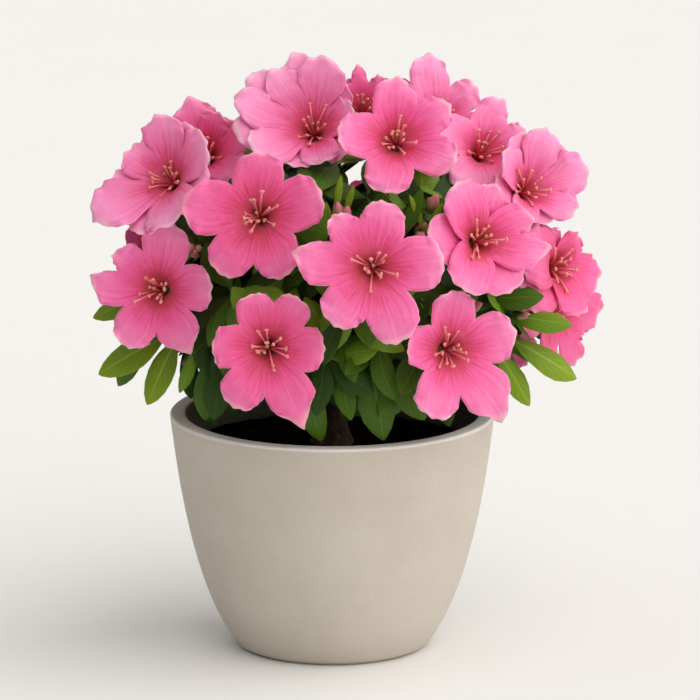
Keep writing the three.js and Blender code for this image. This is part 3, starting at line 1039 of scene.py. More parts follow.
# How high each point of a row lies: a funnel with a cupped, reflexed rim, then what makes each petal its own
def petalHeight(petal, across, look, radius, free, tip):
    share = radius / look["reach"]
    height = -look["throatDepth"] * np.exp(-(radius - look["throatRadius"]) / look["throatFall"])
    height = height + look["cup"] * share ** look["cupPower"] - look["reflex"] * share ** look["reflexPower"]
    ramp = min(1.0, free * look["riseRate"])
    ruffle = look["ruffle"] * np.abs(across) ** look["rufflePower"] * ramp
    height = height + ruffle * wave(look["waves"] * free + petal["rufflePhase"])
    rim = look["ruffle"] * look["rimRuffle"] * tip ** 2
    height = height + rim * wave(look["tipWaves"] * across + petal["rimPhase"])
    arch = look["arch"] * (across ** 2 - look["archLevel"])
    height = height - arch * ramp * (1 - look["archFade"] * free)
    crease = look["crease"] * np.exp(-(across / look["creaseWidth"]) ** 2)
    height = height - crease * ramp * (1 - look["creaseFade"] * free)
    tilt = (look["tilt"] + petal["twist"]) * across
    height = height + tilt * ramp * min(1.0, free * look["tiltRate"])
    pleat = look["pleat"] * np.cos(across * look["pleatTurns"] + petal["pleatPhase"]) * ramp * (1 - free)
    return height + petal["lift"] * free ** look["swayPower"] + pleat - look["drop"]


# How far from the throat the petals part, between each lobe and the next
def notchDepths(lobes, gaps, look, rng):
    depths = []
    for number, gap in enumerate(gaps):
        shorter = min(lobes[number][1], lobes[(number + 1) % len(lobes)][1])
        pull = 1 + look["gapPull"] - look["gapPull"] * gap / look["fifth"]
        deep = look["notchShare"] * (look["spread"] + shorter) / 2 * pull * rng.uniform(*look["notchVary"])
        depths.append(min(deep, shorter * look["notchMost"]))
    return depths


# One whorl of petals joined into a funnel: places (mm, in the bloom's own axes), faces and map corners
def petalWhorl(lobes, look, rng):
    lobes = sorted((angle % 360, length, point) for angle, length, point in lobes)
    count = len(lobes)
    spread = sum(lobe[1] for lobe in lobes) / count
    notch = look["notchShare"] * spread
    look = {**look, "spread": spread, "notch": notch}
    gaps = [(lobes[(number + 1) % count][0] - lobes[number][0]) % 360 for number in range(count)]
    notches = notchDepths(lobes, gaps, look, rng)
    across = np.linspace(-1, 1, look["across"] + 1)
    verts = []
    faces = []
    corners = []
    for number, (angle, length, sharp) in enumerate(lobes):
        def sided(left, right):
            return np.where(across < 0, left, right)

        ease = [rng.random() for draw in range(10)]   # two of them aren't used
        petal = {
            "half": np.radians(sided(gaps[number - 1], gaps[number])) / 2,
            "notchLine": notch + (sided(notches[number - 1], notches[number]) - notch) * across ** 2,
            "lift": rng.uniform(-1, 1) * look["sway"] + (-1) ** number * look["alternate"],
            "twist": rng.uniform(-look["tiltVary"], look["tiltVary"]),
            "length": max(length, notch * look["leastLobe"]),
            "point": sharp + look["pointVary"] * ease[8], "edgePhase": sided(ease[0], ease[1]),
            "tipPhase": ease[2], "rufflePhase": sided(ease[3], ease[4]), "rimPhase": ease[5],
            "pleatPhase": ease[6],
        }
        turn = math.radians(angle)
        rows = petalRows(petal, across, look)
        first = len(verts)
        for x, y, mapAlong, free, tip in rows:
            height = petalHeight(petal, across, look, np.hypot(x, y), free, tip)
            placeX, placeY = rotated(y, x, turn)
            verts += list(zip(placeX.tolist(), placeY.tolist(), height.tolist()))
        # the map's right half is for the upper lobe, which has the spots
        cell = 1 if abs((angle - 90 + 180) % 360 - 180) < look["upperLobe"] else 0
        lines = [(cell + line) / 2 for line in mapLines(look["across"], look["mapMargin"])]
        part = sheetFaces(lines, [row[2] for row in rows], first, turned=False)
        faces += part[0]
        corners += part[1]
    return verts, faces, corners


# each tint's rim colour is a painted highlight along the petals' edges
petalTints = [
    {"name": "petalsDeep", "core": rgb(0.29, 0.032, 0.028), "throat": rgb(0.50, 0.046, 0.048),
     "deep": rgb(0.66, 0.038, 0.115), "mid": rgb(0.87, 0.085, 0.25), "outer": rgb(0.93, 0.15, 0.36),
     "rim": rgb(0.96, 0.47, 0.50), "vein": rgb(0.70, 0.035, 0.14)},
    {"name": "petalsMid", "core": rgb(0.37, 0.04, 0.036), "throat": rgb(0.58, 0.056, 0.062),
     "deep": rgb(0.72, 0.048, 0.145), "mid": rgb(0.92, 0.105, 0.30), "outer": rgb(0.97, 0.205, 0.43),
     "rim": rgb(0.98, 0.52, 0.56), "vein": rgb(0.77, 0.045, 0.175)},
    {"name": "petalsPale", "core": rgb(0.60, 0.062, 0.10), "throat": rgb(0.75, 0.072, 0.15),
     "deep": rgb(0.76, 0.06, 0.175), "mid": rgb(0.92, 0.165, 0.375), "outer": rgb(0.95, 0.28, 0.51),
     "rim": rgb(0.98, 0.58, 0.64), "vein": rgb(0.82, 0.06, 0.21)},
]

# Where a petal's colours change, as shares of the way from the throat's middle to the rim
petalStops = {"core": 0.12, "throat": 0.22, "deep": 0.34, "mid": 0.56, "outer": 0.86}


def makePetalMaterial(tint):
    material, tree, shader = newMaterial(
        tint["name"], roughness=0.5, specularIorLevel=0.28, sheenWeight=0.08, sheenRoughness=0.5,
        subsurfaceWeight=0.3, subsurfaceScale=0.004, subsurfaceRadius=(1.0, 0.3, 0.5))
    place = ownMap(tree)
    lines = groupOf(tree, bladeGroup, map=place, cells=2.0, count=7.0, alongShare=-0.22, acrossShare=1.0,
                    wander=0.5, ribWidth=0.10, marginWidth=0.09)
    along = lines["along"]
    # ragged bands of colour from throat to rim
    streak = noiseOf(tree, stretched(tree, place, (30.0, 1.6, 1.0)), 1.0, 3.0, 0.6)
    ragged = times(tree, centred(tree, streak), smoothRange(tree, along, 0.14, 0.34))
    reach = timesPlus(tree, ragged, -0.68, along)
    shade = rampOf(tree, reach, [(stop, tint[name]) for name, stop in petalStops.items()])
    # veins, the middle rib and the pale rim of the free part, a painted highlight along the petals' edges
    shade = layOver(tree, shade, tint["vein"], lines["lines"], 0.10, smoothRange(tree, along, 1.0, 0.15))
    shade = layOver(tree, shade, tint["vein"], lines["rib"], 0.45, smoothRange(tree, along, 0.95, 0.3))
    shade = layOver(tree, shade, tint["rim"], lines["margin"], smoothRange(tree, along, 0.58, 0.68), 0.65)
    # spots on the upper lobe
    dots = nodeValue(tree, "ShaderNodeTexVoronoi", vector=place, scale=34.0)
    zone = times(tree, smoothRange(tree, along, 0.22, 0.3), smoothRange(tree, along, 0.6, 0.45))
    middle = smoothRange(tree, maths(tree, "ABSOLUTE", lines["across"]), 0.55, 0.3)
    spot = times(tree, maths(tree, "LESS_THAN", dots, 0.22), zone, times(tree, middle, lines["cell"]))
    shade = layOver(tree, shade, tint["deep"], spot, 0.7)
    # soft patches of the deeper pink, from petal to petal
    patch = smoothRange(tree, noiseOf(tree, objectPlace(tree), 95.0, 2.0), 0.45, 0.7)
    shade = layOver(tree, shade, tint["mid"], patch, 0.35)
    height = timesPlus(tree, lines["lines"], 0.15, times(tree, lines["rib"], 0.5))
    height = maths(tree, "ADD", height, times(tree, patch, 1.6))
    height = timesPlus(tree, streak, -0.8, height)
    rough = timesPlus(tree, streak, 0.2, 0.38)
    dress(tree, shader, shade, height, strength=0.45, depth=0.0004, rough=rough)
    return material


# Which lobes make one whorl, and how far it is sunk. A many-petalled bloom has two, one below the other.
def whorlsOf(bloom):
    if not bloom["loose"] or len(bloom["lobes"]) < looseLook["splitFrom"]:
        return [(bloom["lobes"], 0.0)]
    ordered = sorted(bloom["lobes"], key=lambda lobe: lobe[0] % 360)
    return [(ordered[0::2], 0.0), (ordered[1::2], looseLook["sunk"])]


def petalMesh(name, batch):
    mesh = newMesh(name, *batch)
    work = bmesh.new()
    work.from_mesh(mesh)
    bmesh.ops.remove_doubles(work, verts=work.verts, dist=blossom["weld"] * mm)
    return pour(work, mesh)


def makePetals(blooms):
    batches = [([], [], []) for tint in petalTints]
    for bloom in blooms:
        rng = random.Random(blossom["petalSeed"] + bloom["seed"])
        look = {**blossom, "cup": bloom["cup"], "reach": bloom["reach"], "notchShare": bloom["notch"]}
        if bloom["loose"]:
            look.update(looseLook)
        whorls = whorlsOf(bloom)
        if len(whorls) > 1:
            look["notchShare"] = looseLook["splitNotch"]
        for lobes, drop in whorls:
            verts, faces, corners = petalWhorl(lobes, {**look, "drop": drop}, rng)
            allVerts, allFaces, allCorners = batches[bloom["tint"]]
            first = len(allVerts)
            allVerts += [(bloom["at"] + bloom["axes"] @ Vector(vert)) * mm for vert in verts]
            allFaces += [tuple(first + index for index in face) for face in faces]
            allCorners += corners
    for tint, batch in zip(petalTints, batches):
        piece = newPiece(tint["name"], petalMesh(tint["name"], batch), makePetalMaterial(tint))
        shell = piece.modifiers.new("wall", "SOLIDIFY")
        shell.thickness = blossom["wall"] * mm
        shell.offset = -1
        finishPiece(settle(piece), massNames)
    print("petals opened")


# Stamens, pistils and calyxes

stamens = {
    # lengths in mm, leans in degrees; bends, knobs and tapers in shares of the length or thickness
    "count": 13, "reach": (8.5, 14), "lean": (8, 46), "leanShare": 0.35, "aroundVary": 0.35, "foot": -8,
    "footRadius": 0.8, "bend": 0.26, "bendLean": 22, "thick": 0.85, "thickLength": 18, "sides": 5, "steps": 6,
    "taper": 0.35, "antherSize": (1.45, 2.3), "antherVary": (0.85, 1.15), "antherSides": (7, 5), "seed": 2000,
    "pistilReach": 12, "pistilVary": (0.9, 1.05), "pistilBend": 0.2, "pistilThick": 0.8, "pistilDroop": -0.12,
    "knobThick": 1.5, "knobRows": [(1.015, 1), (1.05, 1.05), (1.075, 0.4)],
    "root": rgb(0.50, 0.06, 0.07), "filament": rgb(0.66, 0.10, 0.12), "filamentTip": rgb(0.86, 0.27, 0.30),
    "anther": rgb(0.76, 0.28, 0.23), "antherDeep": rgb(0.54, 0.15, 0.11),
    "stigma": rgb(0.34, 0.19, 0.07),
}


# A stalk of unit length along Z that bends towards Y, with an optional knob at its end
def stalkShape(name, thick, bend, knob=0.0):
    steps = stamens["steps"]
    profile = [(step / steps, thick * (1 - stamens["taper"] * step / steps)) for step in range(steps + 1)]
    if knob:
        profile += [(share, knob * wide) for share, wide in stamens["knobRows"]]

    def spot(share, radius, side):
        x, y = onCircle(radius, fullTurn * side / stamens["sides"])
        return x, bend * share * share + y, share

    return tubeMesh(name, profile, stamens["sides"], spot)


# A small ball. Blender gives its faces in another order each time, so they are sorted.
def antherShape(name):
    work = bmesh.new()
    sides, rings = stamens["antherSides"]
    bmesh.ops.create_uvsphere(work, u_segments=sides, v_segments=rings, radius=0.5)
    work.verts.index_update()
    verts = [vert.co.copy() for vert in work.verts]
    faces = sorted(tuple(vert.index for vert in face.verts) for face in work.faces)
    work.free()
    return newMesh(name, verts, faces)


def plainMaterial(name, near, far, scale, low, high, roughness):
    material, tree, shader = newMaterial(name, roughness=roughness)
    patch = noiseOf(tree, objectPlace(tree), scale)
    shade = blendColour(tree, smoothRange(tree, patch, low, high), near, far)
    dress(tree, shader, shade, patch, strength=0.3, depth=0.0003)
    return material


# Colours that follow each other along a stalk or bud, each stop moved a little by a noise
def lengthwiseMaterial(name, stops, scale, detail, shift, strength, depth, **values):
    material, tree, shader = newMaterial(name, **values)
    patch = noiseOf(tree, objectPlace(tree), scale, detail)
    along = timesPlus(tree, centred(tree, patch), shift, partsOf(tree, ownMap(tree))[1])
    dress(tree, shader, rampOf(tree, along, stops), patch, strength, depth)
    return material


def stalkletMaterial(name, tip):
    stops = [(0.25, stamens["root"]), (0.6, stamens["filament"]), (0.95, tip)]
    return lengthwiseMaterial(name, stops, scale=400.0, detail=2.0, shift=0.3, strength=0.2,
                              depth=0.0002, roughness=0.45)


# One stamen's filament and anther, each as (axes, place, size) in the bloom's own axes
def stamenParts(start, number, rng):
    vary = rng.uniform(-stamens["aroundVary"], stamens["aroundVary"])
    around = start + fullTurn * number / stamens["count"] + vary
    lean = math.radians(rng.uniform(*stamens["lean"]))
    rise = lean * stamens["leanShare"]
    tall = rng.uniform(*stamens["reach"]) / math.cos(rise)
    out = Vector((*onCircle(1, around), 0))
    along = out * math.sin(rise) + skyward * math.cos(rise)
    bend = squareTo(out, along).normalized()
    root = out * stamens["footRadius"] + skyward * stamens["foot"]
    amount = stamens["bend"] * lean / math.radians(stamens["bendLean"])
    filament = (axesOf(bend, along), root, (tall, tall * amount / stamens["bend"], tall))
    heading = (along + bend * amount * 2).normalized()
    cross = out.cross(heading)
    cross = (cross if cross.length > 0.1 else bend.cross(along)).normalized()
    tilt = Matrix((heading.cross(cross), cross, heading)).transposed()
    size = rng.uniform(*stamens["antherVary"])
    small, long = stamens["antherSize"]
    tip = root + (along + bend * amount) * tall
    return filament, (tilt, tip, (small * size, long * size, small * size))


# A spot for the scatter tree from axes, place and size in the bloom's own axes
def inBloom(bloom, axes, place, size):
    return bloom["axes"] @ axes, bloom["at"] + bloom["axes"] @ place, size, 0


def makeStamens(blooms):
    filaments = []
    anthers = []
    pistils = []
    droop = Vector((0, stamens["pistilDroop"], 1)).normalized()
    hang = axesOf(squareTo(Vector((0, 1, 0)), droop).normalized(), droop)
    for bloom in blooms:
        rng = random.Random(stamens["seed"] + bloom["seed"])
        start = rng.uniform(0, fullTurn)
        for number in range(stamens["count"]):
            filament, anther = stamenParts(start, number, rng)
            filaments.append(inBloom(bloom, *filament))
            anthers.append(inBloom(bloom, *anther))
        tall = stamens["pistilReach"] * rng.uniform(*stamens["pistilVary"])
        pistils.append(inBloom(bloom, hang, skyward * stamens["foot"], [tall] * 3))
    thick = stamens["thick"] / stamens["thickLength"]
    shape = stalkShape("filament", thick, stamens["bend"])
    skin = stalkletMaterial("filamentSkin", stamens["filamentTip"])
    scatterPiece("filaments", filaments, [shape], skin)
    skin = plainMaterial("antherSkin", stamens["anther"], stamens["antherDeep"], scale=700, low=0.45,
                         high=0.7, roughness=0.6)
    scatterPiece("anthers", anthers, [antherShape("anther")], skin)
    shape = stalkShape("pistil", thick * stamens["pistilThick"], stamens["pistilBend"], 
                       knob=thick * stamens["knobThick"])
    skin = stalkletMaterial("pistilSkin", stamens["stigma"])
    scatterPiece("pistils", pistils, [shape], skin)
    print("stamens set")


calyx = {
    "sepals": 5, "kinds": 2, "size": (5.5, 7.0), "behind": 1.2, "budShare": 0.42, "budSlim": 0.9, "seed": 77,
    # each sepal's rows as (share of length, radius, half width), and how far its middle bulges
    "rows": [(0, 0.28, 0.20), (0.45, 0.42, 0.24), (0.8, 0.50, 0.15), (1.0, 0.62, 0.02)], "bulge": 0.06,
    "heightVary": (0.95, 1.05), "foot": -0.25,
    "green": rgb(0.16, 0.26, 0.05), "blush": rgb(0.30, 0.20, 0.10),
}


# Small sepals round a knob, of unit reach along Z
def calyxShape(name, rng):
    verts = [(0, 0, calyx["foot"])]
    faces = []
    for number in range(calyx["sepals"]):
        first = len(verts)
        turn = fullTurn * number / calyx["sepals"]
        for share, radius, half in calyx["rows"]:
            for side in (-1, 0, 1):
                height = share * rng.uniform(*calyx["heightVary"])
                out = radius + (0 if side else calyx["bulge"])
                verts.append((*rotated(out, side * half, turn), height))
        faces += [(0, first + 1, first), (0, first + 2, first + 1)]
        faces += sheetFaces(range(3), range(len(calyx["rows"])), first)[0]
    return newMesh(name, verts, faces)


def makeCalyxes(blooms, buds):
    rng = random.Random(calyx["seed"])
    spots = []
    for bloom in blooms:
        size = rng.uniform(*calyx["size"])
        at = bloom["at"] - bloom["out"] * (blossom["throatDepth"] + calyx["behind"])
        spots.append((bloom["axes"], at, [size] * 3, rng.randrange(calyx["kinds"])))
    for at, out, length in buds:
        size = length * calyx["budShare"]
        slim = size * calyx["budSlim"]
        spots.append((uprightFrame(out), at, (slim, slim, size), rng.randrange(calyx["kinds"])))
    skin = plainMaterial("calyxSkin", calyx["green"], calyx["blush"], scale=160, low=0.4, high=0.75,
                         roughness=0.5)
    shapes = [calyxShape("calyx%d" % number, rng) for number in range(calyx["kinds"])]
    scatterPiece("calyxes", spots, shapes, skin)


# Closed buds: pink spindles between the leaves

bud = {
    "sides": 8, "twist": 0.22, "ridge": 0.12, "lengthVary": (0.75, 1.15), "fan": 0.45, "strew": 2,
    # rings as (share of length, radius)
    "profile": [(0, 0.10), (0.10, 0.19), (0.3, 0.26), (0.55, 0.24), (0.78, 0.15), (0.94, 0.06), (1.0, 0.01)],
    # colours along it, as (share of length, colour)
    "stops": [(0.05, rgb(0.10, 0.13, 0.03)), (0.35, rgb(0.26, 0.22, 0.08)), (0.6, rgb(0.50, 0.26, 0.17)),
              (0.95, rgb(0.80, 0.22, 0.30))],
    # the ones by leaf clusters without a bloom
    "share": 0.22, "length": (9, 15), "ahead": 3, "sideways": 0.3, "upwards": 0.2, "seed": 31,
}

# Buds in the gaps between the front blooms: (foot of the cluster in mm, way it faces, length, number)
budPlaces = [
    ((5, -52, 205), (-6, 66), 11, 4), ((38, -56, 200), (20, 40), 9, 4), ((-60, -48, 190), (-24, 20), 8, 4),
    ((-8, -62, 188), (-14, 30), 7, 3), ((44, -60, 190), (10, 20), 7, 2), ((-66, -40, 184), (-40, 10), 7, 3),
    ((82, -44, 160), (50, 20), 7, 2),
]


def budShape(name):
    def spot(share, radius, side):
        angle = fullTurn * (side / bud["sides"] + share * bud["twist"])
        return (*onCircle(radius * (1 + bud["ridge"] * (-1) ** side), angle), share)

    return tubeMesh(name, bud["profile"], bud["sides"], spot)


def makeBuds(blooms, whorls):
    rng = random.Random(bud["seed"])
    buds = []
    for at, way, length, count in budPlaces:
        for number in range(count):
            fan = jitter(rng, bud["fan"])
            foot = Vector(at) + jitter(rng, bud["strew"])
            buds.append((foot, (facing(*way) + fan).normalized(), length * rng.uniform(*bud["lengthVary"])))
    for whorl in whorls:
        if whorl["besideBloom"] or rng.random() >= bud["share"]:
            continue
        aside = Vector((*swings(rng, bud["sideways"], 2), bud["upwards"]))
        out = (whorl["axis"] + aside).normalized()
        foot = whorl["at"] + whorl["axis"] * bud["ahead"]
        length = rng.uniform(*bud["length"])
        if not insideAny(foot + out * length, blooms, leaf["bloomClear"]):
            buds.append((foot, out, length))
    skin = lengthwiseMaterial("budSkin", bud["stops"], scale=300.0, detail=3.0, shift=0.5, strength=0.4,
                              depth=0.0004, roughness=0.5, specularIorLevel=0.3)
    spots = [(uprightFrame(out), at, [length] * 3, 0) for at, out, length in buds]
    scatterPiece("buds", spots, [budShape("bud")], skin)
    return buds


# Twigs: grow on from the boughs' tips to every cluster of leaves

twig = {
    # radii, steps and wander in mm; bends and costs are shares
    "fineRadius": 0.62, "power": 0.42, "mostRadius": 1.7, "step": 6, "bend": 0.45, "wander": 0.8, "seed": 41,
    "detour": 0.30, "turnCost": 0.35, "sides": 6, "knobs": 0.35, "knobScale": 420.0,
    # leaf clusters: how far behind a bloom, and how the others fill the dome, in shares of it and mm
    "whorlBehindBloom": 24, "fillers": 170, "fillerSpacing": 21, "fillerShare": (0.34, 0.86),
    "attempts": 40000, "lowest": 116, "fillerClear": 6, "lift": 22,
    # how many of the bough's points nearest to its mass make its tip, and which of them lie behind it
    "tipPoints": 24, "behindPoints": (60, 120),
    "young": rgb(0.16, 0.17, 0.05), "old": rgb(0.12, 0.065, 0.035),
}

# The stalk behind each bloom
pedicel = {
    "radius": 0.62, "endRadius": 0.87, "steps": 5, "behind": 1.5, "sway": 1.5, "sag": -1.2,
    "sides": 7, "knobs": 0.1, "knobScale": 700.0,
    "green": rgb(0.30, 0.30, 0.09), "blush": rgb(0.45, 0.16, 0.12),
}


def meanOf(points):
    return sum(points, Vector()) / len(points)


# Where each mass's bough ends, the way it heads there, and the mass's middle, in mm
def limbTips():
    tips = {}
    for massName in massNames:
        limb = frame["nodes"][massName.replace("foliage_", "bough_")]
        low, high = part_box(massName)
        middle = (low + high) / 2
        points = [vert.co.copy() for vert in limb.data.vertices]
        points.sort(key=lambda point: (point - middle).length)
        tip = meanOf(points[:twig["tipPoints"]]) / mm
        behind = meanOf(points[slice(*twig["behindPoints"])]) / mm
        tips[massName] = (tip, (tip - behind).normalized(), middle / mm)
    return tips


# Leaf clusters: one behind each bloom, and more spaced through the dome between them
def planWhorls(blooms):
    rng = random.Random(twig["seed"])
    whorls = []
    for bloom in blooms:
        at = bloom["at"] - bloom["out"] * twig["whorlBehindBloom"]
        whorls.append({"at": at, "axis": bloom["out"], "besideBloom": True})
    low, high = twig["fillerShare"]
    for attempt in range(twig["attempts"]):
        if len(whorls) >= len(blooms) + twig["fillers"]:
            break
        offset = jitter(rng, 1)
        if offset.length > 1:
            continue
        sizes = crownSizes(offset.z > 0)
        place = Vector([part * size for part, size in zip(offset, sizes)]) + crown["centre"]
        if not low < offset.length < high or place.z < twig["lowest"]:
            continue
        if min((place - whorl["at"]).length for whorl in whorls) < twig["fillerSpacing"]:
            continue
        if insideAny(place, blooms, twig["fillerClear"]):
            continue
        axis = (place - crown["centre"] + skyward * twig["lift"]).normalized()
        whorls.append({"at": place, "axis": axis, "besideBloom": False})
    print("leaf clusters planned:", len(whorls))
    return whorls


# Whether a place in mm lies in front of a bloom's funnel and under its stamens' tips, or nearer behind the
# funnel than the gap
def insideBloom(place, bloom, gap):
    offset = place - bloom["at"]
    height = offset.dot(bloom["out"])
    if height > blossom["clearAhead"] or height < -blossom["throatDepth"] - blossom["clearBehind"]:
        return False
    radius = (offset - bloom["out"] * height).length
    if radius > bloom["reach"]:
        return False
    beyond = max(radius, blossom["throatRadius"]) - blossom["throatRadius"]
    funnel = bloom["cup"] * (radius / bloom["reach"]) ** blossom["cupPower"]
    funnel -= blossom["throatDepth"] * math.exp(-beyond / blossom["throatFall"])
    return height > funnel - gap


def insideAny(place, blooms, gap):
    return any(insideBloom(place, bloom, gap) for bloom in blooms)


def hermite(start, startPull, end, endPull, share):
    square = share * share
    cube = square * share
    return (start * (2 * cube - 3 * square + 1) + startPull * (cube - 2 * square + share)
            + end * (3 * square - 2 * cube) + endPull * (cube - square))


# The joint that a new twig leaves: near its goal, ahead rather than back, and not far from the bough
def nearestJoint(joints, goal):
    def cost(joint):
        away = goal - joint["at"]
        back = 1 - joint["heading"].dot(away.normalized()) if away.length > 0 else 0
        return away.length * (1 + twig["turnCost"] * back) + twig["detour"] * joint["far"]

    return min(joints, key=cost)


# The joints of one twig from its root to a leaf cluster, each linked to the one before
def growRun(root, whorl, rng):
    away = whorl["at"] - root["at"]
    steps = max(2, int(away.length / twig["step"]))
    pull = away.length * twig["bend"] * 2
    startPull = (root["heading"] + away.normalized()).normalized() * pull
    run = [root]
    for step in range(1, steps + 1):
        last = run[-1]
        spot = hermite(root["at"], startPull, whorl["at"], whorl["axis"] * pull, step / steps)
        if step < steps:
            spot += jitter(rng, twig["wander"])
        way = spot - last["at"]
        run.append({"at": spot, "heading": way.normalized(), "parent": last, "load": 0,
                    "far": last["far"] + way.length})
    return run


# Twigs from each bough's tip to the leaf clusters nearest to its mass. A joint's load is how many clusters
# it carries, and makes it thicker.
def growTwigs(whorls):
    rng = random.Random(twig["seed"] + 1)
    tips = limbTips()
    shares = {name: [] for name in tips}
    for whorl in whorls:
        nearest = min(tips, key=lambda name: (tips[name][2] - whorl["at"]).length)
        shares[nearest].append(whorl)
    strands = []
    for name in sorted(tips):
        tip, heading = tips[name][:2]
        joints = [{"at": tip, "heading": heading, "parent": None, "load": 0, "far": 0.0}]
        runs = []
        for whorl in sorted(shares[name], key=lambda item: (item["at"] - tip).length):
            run = growRun(nearestJoint(joints, whorl["at"]), whorl, rng)
            joints += run[1:]
            runs.append(run)
            joint = run[-1]
            while joint is not None:
                joint["load"] += 1
                joint = joint["parent"]
        for run in runs:
            loads = [min(joint["load"], run[1]["load"]) for joint in run]
            radii = [min(twig["mostRadius"], twig["fineRadius"] * load ** twig["power"]) for load in loads]
            strands.append([(joint["at"], radius) for joint, radius in zip(run, radii)])
    return strands


def makeTwigMaterial():
    material, tree, shader = newMaterial("twigBark", roughness=0.75)
    mottle = groupOf(tree, mottleGroup, place=objectPlace(tree), patchScale=110.0, speckScale=900.0,
                     speckShare=0.4)
    shade = blendColour(tree, mottle["patch"], twig["old"], twig["young"])
    shade = layOver(tree, shade, bark["pale"], mottle["speck"], 0.4)
    dress(tree, shader, shade, mottle["grain"], strength=0.6, depth=0.0005)
    return material


def makeStalks(blooms, whorls):
    strands = growTwigs(whorls)
    stalkPiece("twigs", strands, makeTwigMaterial(), twig)
    rng = random.Random(twig["seed"] + 2)
    steps = pedicel["steps"]
    radii = [pedicel["radius"]] * steps + [pedicel["endRadius"]]
    stalks = []
    for bloom in blooms:
        start = bloom["at"] - bloom["out"] * twig["whorlBehindBloom"]
        end = bloom["at"] - bloom["out"] * (blossom["throatDepth"] + pedicel["behind"])
        sag = Vector((*swings(rng, pedicel["sway"], 2), pedicel["sag"]))
        places = [start.lerp(end, step / steps) + sag * math.sin(math.pi * step / steps)
                  for step in range(steps + 1)]
        stalks.append(list(zip(places, radii)))
    skin = plainMaterial("stalkSkin", pedicel["green"], pedicel["blush"], scale=120, low=0.4, high=0.7,
                         roughness=0.55)
    stalkPiece("pedicels", stalks, skin, pedicel)
    print("twigs grown:", len(strands))


# Bark: the stem and boughs, with their relief

bark = {
    "voxel": 0.75, "depth": 0.55, "scale": 330.0, "soften": 0.5, "softenRounds": 3, "weld": 0.002,
    "brown": rgb(0.125, 0.075, 0.045), "dark": rgb(0.05, 0.03, 0.02), "pale": rgb(0.26, 0.20, 0.14),
}


def makeBarkMaterial():
    material, tree, shader = newMaterial("shrubBark", roughness=0.85)
    place = stretched(tree, objectPlace(tree), (1.0, 1.0, 0.45))
    mottle = groupOf(tree, mottleGroup, place=place, patchScale=240.0, speckScale=700.0, speckShare=0.45)
    shade = blendColour(tree, mottle["patch"], bark["dark"], bark["brown"])
    shade = layOver(tree, shade, bark["pale"], mottle["speck"], 0.55)
    height = maths(tree, "ADD", mottle["patch"], mottle["grain"])
    dress(tree, shader, shade, height, strength=0.6, depth=0.0006)
    return material


def makeBark():
    work = bmesh.new()
    for name in limbNames:
        work.from_mesh(frame["nodes"][name].data)
    bmesh.ops.remove_doubles(work, verts=work.verts, dist=bark["weld"] * mm)
    piece = newPiece("limbs", pour(work, bpy.data.meshes.new("limbs")))
    remesh = piece.modifiers.new("skin", "REMESH")
    remesh.mode = "VOXEL"
    remesh.voxel_size = bark["voxel"] * mm
    smooth = piece.modifiers.new("soften", "SMOOTH")
    smooth.factor = bark["soften"]
    smooth.iterations = bark["softenRounds"]
    growNodes(piece, reliefTree, depth=bark["depth"] * mm, scale=bark["scale"], material=makeBarkMaterial())
    finishPiece(settle(piece), limbNames)
    print("bark laid")


# Leaves

leaf = {
    # the blade's rows and columns of faces, and its shape in shares of its length
    "rows": 9, "columns": 4, "half": 0.19, "slimmest": 0.88, "broader": 0.4, "fold": 0.16,
    "foldVary": (0.4, 1.4), "arch": 0.20, "archVary": (0.3, 1.5), "wave": 0.018, "waves": 1.5, "sway": 0.07,
    "cupping": 0.35, "base": 0.55, "tip": 0.8, "stalk": 0.05, "stalkHalf": 0.012, "tipHalf": 0.002,
    "shapes": 6, "mapMargin": 0.01, "seed": 61,
    # a cluster's leaves: length in mm, number, spread in degrees, turn from one to the next in radians
    "length": (25, 36), "perWhorl": (6, 9), "spread": (40, 86), "goldenTurn": 2.4, "behind": 6,
    # how their upper sides lean, and where along them their tint and room are worked out
    "upwards": 0.5, "roll": 0.25, "tintAt": 0.6, "checkedAt": (0.35, 0.7, 1.0),
    # leaves that show by themselves: the way of their upper sides, and where a young one gets slim
    "showUpper": (0, -0.75, 0.65), "showRoll": 0.2, "slimBelow": 42, "slimLeast": 0.5,
    # room that leaves keep, in mm: above the lip or else within this radius, above the soil, from a bloom
    "potClear": 3, "potInside": 59, "soilClear": 5, "bloomClear": 1.6,
    # how far out of the dome they may reach: above the waist and, more with each mm, below it
    "waist": 185, "upperLimit": 0.97, "lowerLimit": 1.02, "lowerSpread": 0.0022,
    # what lies in the front's shade (under, in front of and within so many mm), inside, and at the hem;
    # leaves in the shade and inside are dealt mostly dark tints, as painted shade
    "shadeTop": 152, "shadeFront": -20, "shadeWidth": 52, "insideShare": 0.62,
    "hemTop": 150, "hemShare": 0.85,
    # how each of them is dealt its tints, as (up to this draw, number of the tint)
    "deals": {
        "shade": [(0.6, 0), (1, 1)], "inside": [(0.75, 0), (1, 1)],
        "hem": [(0.3, 3), (0.7, 2), (1, 1)], "outside": [(0.18, 0), (0.66, 1), (1, 2)],
    },
}

